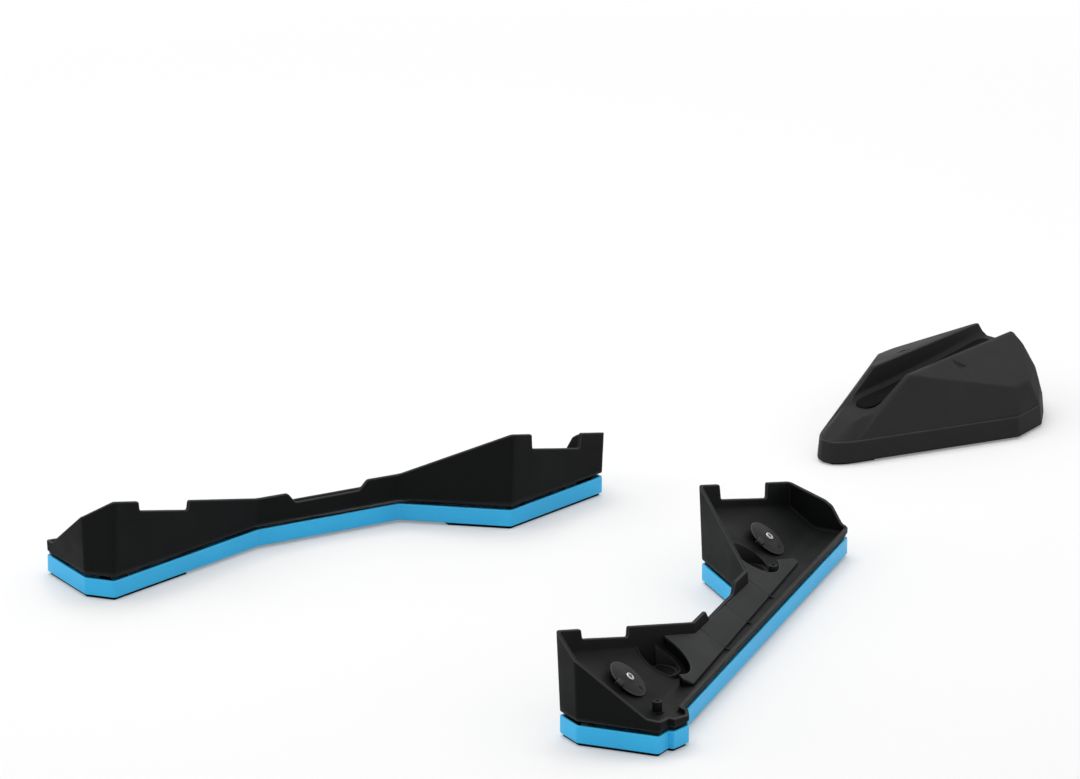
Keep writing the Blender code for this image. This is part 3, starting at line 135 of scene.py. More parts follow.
@dataclass
class Surface:
    """Points, faces and a painted highlight value per point, from which a mesh is made."""

    points: Array
    quads: Array = field(default_factory=lambda: np.zeros((0, 4), int))
    triangles: Array = field(default_factory=lambda: np.zeros((0, 3), int))
    caps: list[list[int]] = field(default_factory=list)
    painted_highlight: Array = field(default_factory=lambda: np.zeros(0))

    def __post_init__(self) -> None:
        """Gives every point a painted highlight of 0 where none was stated."""
        if len(self.painted_highlight) != len(self.points):
            self.painted_highlight = np.zeros(len(self.points))

    @classmethod
    def grid(
        cls,
        points: Array,
        painted_highlight: Array | None = None,
        wrap_rows: bool = False,
        wrap_columns: bool = False,
        cap_ends: bool = False,
    ) -> "Surface":
        """A sheet of quads over a grid of points.

        Args:
            points: array of rows, columns and 3 coordinates.
            painted_highlight: painted highlight per grid point.
            wrap_rows: the last row joins the first.
            wrap_columns: the last column joins the first.
            cap_ends: the first and last rows are closed by one face each.

        Returns:
            The sheet.
        """
        rows, columns = points.shape[:2]
        index = np.arange(rows * columns).reshape(rows, columns)
        if wrap_rows:
            index = np.concatenate([index, index[:1]])
        if wrap_columns:
            index = np.concatenate([index, index[:, :1]], axis=1)
        quads = np.stack([index[:-1, :-1], index[:-1, 1:], index[1:, 1:], index[1:, :-1]], axis=-1)
        caps = [index[0, :columns].tolist()[::-1], index[-1, :columns].tolist()] if cap_ends else []
        highlit = np.zeros(rows * columns)
        if painted_highlight is not None:
            highlit = np.broadcast_to(painted_highlight, (rows, columns)).reshape(-1)
        return cls(points.reshape(-1, 3), quads.reshape(-1, 4), np.zeros((0, 3), int), caps, highlit.copy())

    @classmethod
    def joined(cls, parts: Sequence["Surface"]) -> "Surface":
        """Several surfaces as one, with their face numbers moved on."""
        starts = np.cumsum([0] + [len(part.points) for part in parts])
        return cls(
            np.concatenate([part.points for part in parts]),
            np.concatenate([part.quads + start for part, start in zip(parts, starts)]),
            np.concatenate([part.triangles + start for part, start in zip(parts, starts)]),
            [[int(k + start) for k in cap] for part, start in zip(parts, starts) for cap in part.caps],
            np.concatenate([part.painted_highlight for part in parts]),
        )

    def mesh_object(self, name: str, closed: bool = True, crease: float = 38.0) -> bpy.types.Object:
        """Makes the mesh, merges doubled points and turns its faces outward.

        Args:
            name: object name.
            closed: the surface is closed, so its normals can be recalculated.
            crease: edges sharper than this many degrees stay sharp.

        Returns:
            The object, at the origin.
        """
        mesh = bpy.data.meshes.new(name)
        faces = self.quads.tolist() + self.triangles.tolist() + self.caps
        mesh.from_pydata(self.points.tolist(), [], faces)
        # Per-point painted highlight, which the materials mix in as a lighter colour on edges.
        layer = mesh.attributes.new("edge_highlight", "FLOAT", "POINT")
        layer.data.foreach_set("value", self.painted_highlight.astype(np.float32))
        work = bmesh.new()
        work.from_mesh(mesh)
        bmesh.ops.remove_doubles(work, verts=work.verts, dist=MERGE_DISTANCE)
        bmesh.ops.dissolve_degenerate(work, edges=work.edges, dist=1e-7)
        if closed:
            bmesh.ops.recalc_face_normals(work, faces=work.faces)
        work.to_mesh(mesh)
        work.free()
        mesh.shade_smooth()
        mesh.set_sharp_from_angle(angle=math.radians(crease))
        obj = bpy.data.objects.new(name, mesh)
        bpy.context.scene.collection.objects.link(obj)
        return obj


def filleted(points: Array, size: float | Array, steps: int = 5, closed: bool = True) -> Array:
    """Rounds the corners of a polyline with quadratic Bezier arcs.

    Each corner is replaced by (1-t)^2 A + 2t(1-t) P + t^2 B, with A and B on its two sides.

    Args:
        points: corner points, one per row.
        size: how far from the corner an arc starts, at most 0.42 of the shorter side.
        steps: points per arc.
        closed: the line is a loop. An open line keeps its two ends.

    Returns:
        The rounded line's points.
    """
    before = np.roll(points, 1, axis=0)
    after = np.roll(points, -1, axis=0)
    back, ahead = before - points, after - points
    back_length = np.linalg.norm(back, axis=1, keepdims=True)
    ahead_length = np.linalg.norm(ahead, axis=1, keepdims=True)
    wanted = np.broadcast_to(np.reshape(size, (-1, 1)), back_length.shape)
    reach = np.minimum(wanted, FILLET_SHARE * back_length)
    reach = np.minimum(reach, FILLET_SHARE * ahead_length)
    start = points + back / back_length * reach
    end = points + ahead / ahead_length * reach
    t = np.linspace(0.0, 1.0, steps)[None, :, None]
    arcs = (1 - t) ** 2 * start[:, None] + 2 * t * (1 - t) * points[:, None] + t ** 2 * end[:, None]
    if closed:
        return arcs.reshape(-1, points.shape[1])
    return np.concatenate([points[:1], arcs[1:-1].reshape(-1, points.shape[1]), points[-1:]])


def inset_loop(loop: Array, inset: float | Array) -> Array:
    """Moves each point of an anticlockwise plan loop inward by a distance from both its sides.

    The move is (n1 + n2) / (1 + n1.n2) times the inset, n1 and n2 being the sides' inward normals.

    Args:
        loop: plan points, one per row.
        inset: distance, one number or one per point.

    Returns:
        The moved points.
    """
    ahead = np.roll(loop, -1, axis=0) - loop
    ahead /= np.linalg.norm(ahead, axis=1, keepdims=True)
    back = np.roll(ahead, 1, axis=0)
    first = np.stack([-back[:, 1], back[:, 0]], axis=1)
    second = np.stack([-ahead[:, 1], ahead[:, 0]], axis=1)
    scale = 1.0 + (first * second).sum(axis=1, keepdims=True)
    return loop + (first + second) / np.maximum(scale, 0.3) * np.reshape(inset, (-1, 1))


def inside_loop(points: Array, loop: Array) -> Array:
    """Says which plan points are inside a loop, by counting the sides that a ray crosses.

    Args:
        points: plan points, one per row.
        loop: the loop's points.

    Returns:
        True for each point inside.
    """
    x, y = points[:, :1], points[:, 1:2]
    x0, y0 = loop[:, 0], loop[:, 1]
    x1, y1 = np.roll(x0, -1), np.roll(y0, -1)
    crosses = (y0 > y) != (y1 > y)
    slope = (x1 - x0) / np.where(y1 == y0, 1.0, y1 - y0)
    return (crosses & (x < x0 + slope * (y - y0))).sum(axis=1) % 2 == 1


def loop_distance(points: Array, loop: Array) -> Array:
    """Distance from each plan point to the nearest side of a loop.

    Args:
        points: plan points, one per row.
        loop: the loop's points.

    Returns:
        One distance per point.
    """
    start = loop[None, :, :]
    side = (np.roll(loop, -1, axis=0) - loop)[None, :, :]
    offset = points[:, None, :] - start
    part = np.clip((offset * side).sum(-1) / np.maximum((side * side).sum(-1), 1e-18), 0.0, 1.0)
    return np.sqrt(((offset - part[..., None] * side) ** 2).sum(-1)).min(axis=1)


def fill_region(
    loops: Sequence[Array], spacing: float, extra: Sequence[Array] = ()
) -> tuple[Array, Array]:
    """Triangulates the plan inside the first loop, with the other loops kept as edges.

    Inner points lie on a square grid, at least 0.45 of a space from every loop.

    Args:
        loops: nested loops, the outermost first.
        spacing: distance between inner points.
        extra: further closed rings that are kept as edges, inside or across the first loop.

    Returns:
        Plan points, and triangles as point numbers.
    """
    outer = loops[0]
    low, high = outer.min(axis=0), outer.max(axis=0)
    xs = np.arange(low[0] + spacing / 2.0, high[0], spacing)
    ys = np.arange(low[1] + spacing / 2.0, high[1], spacing)
    inner = np.stack(np.meshgrid(xs, ys, indexing="ij"), axis=-1).reshape(-1, 2)
    inner = inner[inside_loop(inner, loops[-1])]
    for ring in [*loops, *extra]:
        inner = inner[loop_distance(inner, ring) > spacing * CLEAR_SHARE]
    rings = [*loops, *extra]
    starts = np.cumsum([0] + [len(ring) for ring in rings])
    numbers = [np.arange(len(ring)) + start for ring, start in zip(rings, starts)]
    edges = np.concatenate([np.stack([n, np.roll(n, -1)], axis=1) for n in numbers])
    flat = np.concatenate([*rings, inner])
    corners_in = [Vector(p) for p in flat.tolist()]
    spots, _, faces, *_ = delaunay_2d_cdt(corners_in, edges.tolist(), [], 0, 1e-7)
    points = np.array([tuple(p) for p in spots])
    triangles = np.array(faces)
    centres = points[triangles].mean(axis=1)
    keep = inside_loop(centres, outer)
    corners = points[triangles]
    first, second = corners[:, 1] - corners[:, 0], corners[:, 2] - corners[:, 0]
    area = np.abs(first[:, 0] * second[:, 1] - first[:, 1] * second[:, 0])
    return points, triangles[keep & (area > 1e-12)]


def slab_between(
    plan: Array, triangles: Array, top: Array, bottom: Array, painted_highlight: Array | None = None
) -> Surface:
    """A closed slab over a triangulated plan, between a top and a bottom height.

    Its side wall joins the edges that only one triangle uses.

    Args:
        plan: plan points.
        triangles: triangles of the plan.
        top, bottom: height per point.
        painted_highlight: painted highlight per point of the top.

    Returns:
        The slab as (plan, plan, height) points.
    """
    count = len(plan)
    edges = np.concatenate([triangles[:, [0, 1]], triangles[:, [1, 2]], triangles[:, [2, 0]]])
    keys = np.sort(edges, axis=1)
    _, first, uses = np.unique(keys, axis=0, return_index=True, return_counts=True)
    rim = edges[first[uses == 1]]
    quads = np.stack([rim[:, 0], rim[:, 1], rim[:, 1] + count, rim[:, 0] + count], axis=1)
    points = np.concatenate([np.column_stack([plan, top]), np.column_stack([plan, bottom])])
    highlit = np.zeros(count) if painted_highlight is None else painted_highlight
    return Surface(points, quads, np.concatenate([triangles, triangles[:, ::-1] + count]), [],
                   np.concatenate([highlit, np.zeros(count)]))


def turned(
    profile: Array, steps: int, radial: Array | None = None, painted_highlight: Array | None = None
) -> Surface:
    """A shape turned about an upright axis: x = r cos a, y = r sin a, z = h.

    Args:
        profile: rows of (radius, height), from the bottom pole to the top pole.
        steps: points round each ring.
        radial: factor on the radius per row and step, for shapes that aren't round.
        painted_highlight: painted highlight per row.

    Returns:
        The closed shape, about the z axis.
    """
    angle = np.linspace(0.0, 2.0 * math.pi, steps, endpoint=False)
    radius = profile[:, :1] * (np.ones((1, steps)) if radial is None else radial)
    height = np.broadcast_to(profile[:, 1:2], radius.shape)
    points = np.stack([radius * np.cos(angle), radius * np.sin(angle), height], axis=-1)
    highlit = None if painted_highlight is None else painted_highlight[:, None]
    return Surface.grid(points, highlit, wrap_columns=True, cap_ends=True)


def rounded_slab(section: Array, start: float, end: float, edge: float, corner: float) -> Surface:
    """A section with rounded corners, carried straight, with its two ends rounded over.

    The ends are rings inset by edge (1 - sin f) at edge (1 - cos f) from the end.

    Args:
        section: anticlockwise section corners as (u, v).
        start, end: where the slab starts and ends along its length.
        edge: radius of the rounding at both ends.
        corner: size of the section's corner rounding.

    Returns:
        The slab as points (length, u, v).
    """
    loop = filleted(section, corner, 4)
    turn = np.linspace(0.0, math.pi / 2.0, 4)
    insets = edge * (1.0 - np.sin(turn))
    depths = edge * (1.0 - np.cos(turn))
    rings = [np.column_stack([np.full(len(loop), start + d), inset_loop(loop, i)])
             for d, i in zip(depths, insets)]
    rings += [np.column_stack([np.full(len(loop), end - d), inset_loop(loop, i)])
              for d, i in zip(depths[::-1], insets[::-1])]
    # Painted highlight on the rounded ends.
    painted_highlight = np.array([0.2, 0.8, 0.8, 0.0, 0.0, 0.8, 0.8, 0.2])[:, None]
    return Surface.grid(np.stack(rings), painted_highlight, wrap_columns=True, cap_ends=True)


@dataclass(frozen=True)
class PlateAxes:
    """A plate's own axes: along its long outer side, across it (negative inward) and up."""

    side: Side
    spread: float = 0.3947
    back: float = -0.4847811886
    toe: float = math.radians(22.08)

    def world(self, points: Array) -> Array:
        """Turns plate points into the frame's axes.

        x is spread - a sin(toe) + c cos(toe) and y is back + a cos(toe) + c sin(toe); the left
        plate is the mirror image in x.

        Args:
            points: (along, across, height) points, on the last axis.

        Returns:
            The points in the frame's axes.
        """
        a, c, z = points[..., 0], points[..., 1], points[..., 2]
        x = self.spread - a * math.sin(self.toe) + c * math.cos(self.toe)
        y = self.back + a * math.cos(self.toe) + c * math.sin(self.toe)
        return np.stack([x * self.side.value, y, z], axis=-1)

    def placed(self, surface: Surface) -> Surface:
        """The surface with its plate points turned into the frame's axes."""
        moved = self.world(surface.points)
        return Surface(moved, surface.quads, surface.triangles, surface.caps, surface.painted_highlight)


@dataclass(frozen=True)
class Outline:
    """The plate's plan outline and the height of the tray wall's top along it."""

    corners: tuple[tuple[float, float, float], ...] = (
        (20.0, -13.4, 4.6), (554.2, 0.0, 4.6), (566.0, -65.8, 4.6), (432.0, -117.3, 4.6),
        (340.7, -45.3, 4.6), (179.3, -50.9, 4.6), (-11.6, -123.2, 4.6), (-33.4, -99.1, 4.6),
        (-38.3, -17.2, 4.6), (-20.5, -13.4, 0.0), (-20.5, -8.1, 0.0), (0.0, 0.0, 4.6),
        (14.0, -5.2, 4.6),
    )
    arc_steps: int = 7
    front_notch: tuple[float, float, float] = (29.0, 77.0, 16.0)
    rear_notch: tuple[float, float, float] = (33.0, 71.0, 10.0)
    hand_cut: tuple[float, float, float] = (34.0, 91.0, 43.0)
    notch_slant: float = 1.5
    hand_slant: float = 9.0

    def sides(self) -> tuple[Array, Array, Array, Array]:
        """The outline's corners, side directions, side lengths and corner distances, in metres."""
        points = np.array([corner[:2] for corner in self.corners]) * MM
        step = np.roll(points, -1, axis=0) - points
        lengths = np.linalg.norm(step, axis=1)
        return points, step / lengths[:, None], lengths, np.concatenate([[0.0], np.cumsum(lengths)])

    def table(self) -> tuple[Array, Array, Array]:
        """Stations of the outline with its corners rounded by arcs.

        A point base + d * direction lies on the outline moved outward by d: on an arc the
        direction is the arc's normal, at a mitred corner it is (n1 + n2) / (1 + n1.n2).

        Returns:
            Distance along, base points and outward directions, one row per station.
        """
        points, along, _, starts = self.sides()
        places, bases, directions = [], [], []
        for k, (corner, ahead) in enumerate(zip(points, along)):
            back = along[k - 1]
            n0, n1 = np.array([-back[1], back[0]]), np.array([-ahead[1], ahead[0]])
            radius = self.corners[k][2] * MM
            if radius == 0.0:
                places.append(np.array([starts[k]]))
                bases.append(corner[None])
                directions.append(((n0 + n1) / (1.0 + n0 @ n1))[None])
                continue
            turn = math.atan2(n0[0] * n1[1] - n0[1] * n1[0], n0 @ n1)
            reach = radius * math.tan(abs(turn) / 2.0)
            sign = 1.0 if turn < 0.0 else -1.0
            centre = corner - back * reach - n0 * radius * sign
            part = np.linspace(0.0, 1.0, self.arc_steps)
            angle = math.atan2(n0[1], n0[0]) + turn * part
            normal = np.stack([np.cos(angle), np.sin(angle)], axis=1)
            places.append(starts[k] - reach + 2.0 * reach * part)
            bases.append(centre + sign * radius * normal)
            directions.append(normal)
        return np.concatenate(places), np.concatenate(bases), np.concatenate(directions)

    def stations(self, distance: Array) -> tuple[Array, Array]:
        """Base points and outward directions at distances along the outline.

        Args:
            distance: distances, of any shape.

        Returns:
            Two arrays of that shape with 2 coordinates.
        """
        places, bases, directions = self.table()
        total = self.sides()[3][-1]
        values = [np.interp(distance, places, column, period=total)
                  for column in (*bases.T, *directions.T)]
        return np.stack(values[:2], axis=-1), np.stack(values[2:], axis=-1)

    def even_distances(self, spacing: float) -> Array:
        """All arc stations, with further ones between them at about the given spacing."""
        places, _, _ = self.table()
        total = self.sides()[3][-1]
        knots = np.unique(np.concatenate([[0.0], places % total, [total]]))
        counts = np.maximum(np.ceil(np.diff(knots) / spacing).astype(int), 1)
        return np.concatenate([np.linspace(a, b, n, endpoint=False)
                               for a, b, n in zip(knots, knots[1:], counts)])

    def loop(self, offset: float | Array, spacing: float = 8 * MM) -> Array:
        """The outline moved outward by an offset, as an anticlockwise plan loop."""
        base, outward = self.stations(self.even_distances(spacing))
        return (base + outward * np.reshape(offset, (-1, 1)))[::-1]

    def top_line(self) -> Array:
        """Corners of the wall's top edge as (distance along the outline, height).

        Returns:
            Corner rows in metres, in order.
        """
        _, _, lengths, starts = self.sides()
        length = lengths / MM
        tops = {0: [(0.0, 31.0)], 1: [(0.0, 31.0), (6.8, 33.4), (17.8, 50.4), (25.8, 55.3)],
                3: [(0.0, 102.3)], 6: [(0.0, 104.0)], 7: [(0.0, 85.0), (60.0, 43.0), (69.0, 36.5)],
                8: [(0.0, 35.5)], 9: [(0.0, 34.0)], 10: [(0.0, 33.5)], 11: [(0.0, 31.0)],
                12: [(0.0, 31.0)]}
        notched = ((2, 68.0, 102.3, self.front_notch), (5, 54.1, 104.0, self.rear_notch))
        for side, low, high, notch in notched:
            rise = (high - low) / length[side]
            end = length[side] - notch[0]
            start = end - notch[1]
            tops[side] = [(0.0, low), (start, low + rise * start),
                          (start + self.notch_slant, low + rise * start - notch[2]),
                          (end - self.notch_slant, low + rise * end - notch[2]), (end, low + rise * end)]
        rise = (54.1 - 52.5) / length[4]
        end = length[4] - self.hand_cut[0]
        start = end - self.hand_cut[1]
        tops[4] = [(0.0, 52.5), (start, 52.5 + rise * start), (start + self.hand_slant, self.hand_cut[2]),
                   (end - self.hand_slant, self.hand_cut[2]), (end, 52.5 + rise * end)]
        rows = [(starts[side] + s * MM, z * MM) for side in sorted(tops) for s, z in tops[side]]
        return np.array(rows)


@dataclass(frozen=True)
class Finish:
    """A surface finish: its colour, gloss, fine texture and painted edge highlight, built as shader nodes."""

    name: str
    colour: tuple[float, float, float, float]
    roughness: float = 0.5
    grain_size: float = 0.7 * MM
    grain_depth: float = 0.02 * MM
    mottle: float = 0.10
    gloss_spread: float = 0.10
    # Strength of the painted edge highlight.
    highlight_gain: float = 0.35
    metallic: float = 0.0
    specular: float = 0.5
    brushed: bool = False

    def material(self) -> bpy.types.Material:
        """Builds the material, or returns it if it was built before.

        Cloudy noise moves the colour and the roughness a little, fine noise gives the grain as a
        bump, and the edge_highlight attribute mixes in a lighter colour: a painted highlight on rounded
        edges.

        Returns:
            The material.
        """
        made = bpy.data.materials.get(self.name)
        if made:
            return made
        made = bpy.data.materials.new(self.name)
        made.use_nodes = True
        nodes, links = made.node_tree.nodes, made.node_tree.links
        shader = nodes["Principled BSDF"]
        shader.inputs["Metallic"].default_value = self.metallic
        shader.inputs["Specular IOR Level"].default_value = self.specular
        place = nodes.new("ShaderNodeTexCoord")
        stretch = nodes.new("ShaderNodeMapping")
        stretch.inputs["Scale"].default_value = (1.0, 0.05, 1.0) if self.brushed else (1.0, 1.0, 1.0)
        links.new(place.outputs["Object"], stretch.inputs["Vector"])
        clouds = self._noise(made, place.outputs["Object"], 22.0, 5.0)
        grain = self._noise(made, stretch.outputs["Vector"], 1.0 / self.grain_size, 3.0)
        speck = self._noise(made, place.outputs["Object"], 0.3 / self.grain_size, 2.0)
        shade = self._range(made, clouds, 1.0 - self.mottle, 1.0 + self.mottle)
        fleck = self._range(made, speck, 1.0 - self.mottle * 0.5, 1.0 + self.mottle * 0.5)
        both = self._math(made, "MULTIPLY", shade, fleck)
        tint = nodes.new("ShaderNodeVectorMath")
        tint.operation = "SCALE"
        tint.inputs[0].default_value = self.colour[:3]
        links.new(both, tint.inputs["Scale"])
        # Painted highlight: the per-point edge attribute, broken up by the cloudy noise, mixes a lighter copy
        # of the colour into the base colour.
        painted_highlight = nodes.new("ShaderNodeAttribute")
        painted_highlight.attribute_name = "edge_highlight"
        patchy = self._range(made, clouds, 0.55, 1.25)
        ragged = self._math(made, "MULTIPLY", painted_highlight.outputs["Fac"], patchy)
        gain = self._math(made, "MULTIPLY", ragged, None, self.highlight_gain)
        mix = nodes.new("ShaderNodeMix")
        mix.data_type = "RGBA"
        highlit = tuple(min(1.0, c * 1.6 + 0.05) for c in self.colour[:3])
        mix.inputs["B"].default_value = highlit + (1.0,)
        links.new(gain, mix.inputs["Factor"])
        links.new(tint.outputs["Vector"], mix.inputs["A"])
        links.new(mix.outputs["Result"], shader.inputs["Base Color"])
        spread = self.gloss_spread
        gloss = self._range(made, clouds, self.roughness - spread, self.roughness + spread)
        links.new(gloss, shader.inputs["Roughness"])
        bump = nodes.new("ShaderNodeBump")
        bump.inputs["Strength"].default_value = 0.6
        bump.inputs["Distance"].default_value = self.grain_depth
        links.new(grain, bump.inputs["Height"])
        links.new(bump.outputs["Normal"], shader.inputs["Normal"])
        return made

    @staticmethod
    def _noise(
        made: bpy.types.Material, vector: bpy.types.NodeSocket, scale: float, detail: float
    ) -> bpy.types.NodeSocket:
        """Adds a noise texture and returns its value."""
        noise = made.node_tree.nodes.new("ShaderNodeTexNoise")
        noise.inputs["Scale"].default_value = scale
        noise.inputs["Detail"].default_value = detail
        made.node_tree.links.new(vector, noise.inputs["Vector"])
        return noise.outputs["Fac"]

    @staticmethod
    def _range(
        made: bpy.types.Material, value: bpy.types.NodeSocket, low: float, high: float
    ) -> bpy.types.NodeSocket:
        """Adds a map from the middle of a noise's values to low and high."""
        node = made.node_tree.nodes.new("ShaderNodeMapRange")
        node.inputs["From Min"].default_value = NOISE_LOW
        node.inputs["From Max"].default_value = NOISE_HIGH
        node.inputs["To Min"].default_value = low
        node.inputs["To Max"].default_value = high
        made.node_tree.links.new(value, node.inputs["Value"])
        return node.outputs["Result"]

    @staticmethod
    def _math(
        made: bpy.types.Material,
        operation: str,
        first: bpy.types.NodeSocket,
        second: bpy.types.NodeSocket | None,
        number: float = 1.0,
    ) -> bpy.types.NodeSocket:
        """Adds a math node on two values, or on a value and a number."""
        node = made.node_tree.nodes.new("ShaderNodeMath")
        node.operation = operation
        made.node_tree.links.new(first, node.inputs[0])
        if second is None:
            node.inputs[1].default_value = number
        else:
            made.node_tree.links.new(second, node.inputs[1])
        return node.outputs["Value"]


# The gain keyword of each finish sets how strongly its painted edge highlight lightens the colour.
BASE_BLUE = Finish("blue_moulding", linear(50, 180, 234), 0.42, mottle=0.03, gloss_spread=0.05,
                   grain_depth=0.012 * MM, highlight_gain=0.25, specular=0.3)
TRAY_BLACK = Finish("black_tray_moulding", linear(14, 15, 15), 0.54, mottle=0.12, highlight_gain=0.80,
                    specular=0.07)
DECK_GREY = Finish("grey_deck_moulding", linear(38, 39, 39), 0.66, grain_size=0.9 * MM,
                   grain_depth=0.03 * MM, mottle=0.06, highlight_gain=0.45, specular=0.15)
BLOCK_BLACK = Finish("black_block_moulding", linear(40, 40, 41), 0.60, mottle=0.08, highlight_gain=0.40,
                     specular=0.06)
RUBBER = Finish("dark_rubber", linear(19, 19, 19), 0.88, grain_size=0.5 * MM, grain_depth=0.03 * MM,
                mottle=0.12, specular=0.03)
DISC_GREY = Finish("grey_disc_moulding", linear(32, 32, 32), 0.50, mottle=0.05, highlight_gain=0.6,
                   specular=0.12)
STEEL = Finish("brushed_steel", linear(160, 162, 165), 0.38, grain_size=0.25 * MM, grain_depth=0.004 * MM,
               mottle=0.06, metallic=1.0, brushed=True)
SCREW_BRIGHT = Finish("bright_zinc", linear(165, 167, 170), 0.34, grain_size=0.3 * MM, grain_depth=0.003 * MM,
                      mottle=0.04, gloss_spread=0.06, metallic=1.0)
NYLON = Finish("off_white_nylon", linear(214, 211, 200), 0.45, mottle=0.03, gloss_spread=0.05)


def dress(
    obj: bpy.types.Object,
    finish: Finish,
    body: str,
    replaced: Sequence[str] = (),
) -> bpy.types.Object:
    """Gives a new piece its finish and ties it to the frame.

    Args:
        obj: the piece.
        finish: its finish.
        body: body that it moves with.
        replaced: CAD nodes that it stands for.

    Returns:
        The piece.
    """
    obj.data.materials.clear()
    obj.data.materials.append(finish.material())
    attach(obj, body)
    if replaced:
        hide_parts(*replaced)
    LOG.info("%s: %d faces, %s", obj.name, len(obj.data.polygons), finish.name)
    return obj


def rounding(radius: float, blend: float = 1.0, steps: int = 4) -> tuple[Array, Array]:
    """A quarter circle as inset and drop: r (1 - cos f) inward and r (1 - sin f) down.

    Args:
        radius: the circle's radius.
        blend: share of the quarter that is covered.
        steps: number of points less one.

    Returns:
        Insets and drops, from the side face to the top face.
    """
    turn = np.linspace(0.0, blend * math.pi / 2.0, steps + 1)
    return radius * (1.0 - np.cos(turn)), radius * (1.0 - np.sin(turn))


def edge_band(distance: Array, width: float) -> Array:
    """Painted highlight that is 1 near an edge and fades away from it, exp(-(d / width)^2)."""
    return np.exp(-((distance / width) ** 2))


@dataclass
class BaseTray:
    """The blue base: an upstanding wall with rolled edges round a flat floor."""

    axes: PlateAxes
    outline: Outline
    low: float = 3.1 * MM
    top: float = 20.5 * MM
    wall: float = 3.0 * MM
    floor: float = 3.0 * MM
    foot_edge: float = 1.1 * MM
    rim_edge: float = 0.9 * MM
    cove: float = 1.4 * MM

    def section(self) -> tuple[Array, Array]:
        """The wall's section as (depth inward, height) with its painted highlight.

        It runs from under the floor, up the outside and down the inside to the floor's top.

        Returns:
            Section rows and painted highlight per row.
        """
        inset, drop = rounding(self.foot_edge)
        foot = np.stack([inset, self.low + drop], axis=1)[::-1]
        inset, drop = rounding(self.rim_edge)
        outer = np.stack([inset, self.top - drop], axis=1)
        inner = np.stack([self.wall - inset, self.top - drop], axis=1)[::-1]
        inset, drop = rounding(self.cove)
        cove = np.stack([self.wall + inset, self.low + self.floor + drop], axis=1)
        reach = self.wall + self.cove
        side = np.array([[0.0, self.low + self.foot_edge + 0.8 * MM],
                         [0.0, self.top - self.rim_edge - 0.8 * MM]])
        rows = np.concatenate([[[reach, self.low]], foot, side, outer, inner, cove])
        painted_highlight = np.zeros(len(rows))
        # Painted highlight on the rolled foot and rim edges.
        painted_highlight[1:6] = (0.1, 0.6, 0.9, 0.6, 0.2)
        painted_highlight[8:18] = (0.2, 0.7, 1.0, 0.7, 0.3, 0.3, 0.7, 1.0, 0.7, 0.2)
        return rows, painted_highlight

    def surface(self) -> Surface:
        """The section carried along the outline: base point minus depth times outward direction."""
        rows, painted_highlight = self.section()
        distance = self.outline.even_distances(12 * MM)
        base, outward = self.outline.stations(distance)
        plan = base[None] - rows[:, 0][:, None, None] * outward[None]
        height = np.broadcast_to(rows[:, 1][:, None, None], plan.shape[:2] + (1,))
        points = np.concatenate([plan, height], axis=-1)
        return Surface.grid(points, painted_highlight[:, None], wrap_columns=True, cap_ends=True)

    def build(self) -> None:
        """Builds and dresses the base."""
        side = self.axes.side.label
        obj = self.axes.placed(self.surface()).mesh_object(f"{side}_blue_base")
        dress(obj, BASE_BLUE, "base_set", [f"{side}_base_tray"])


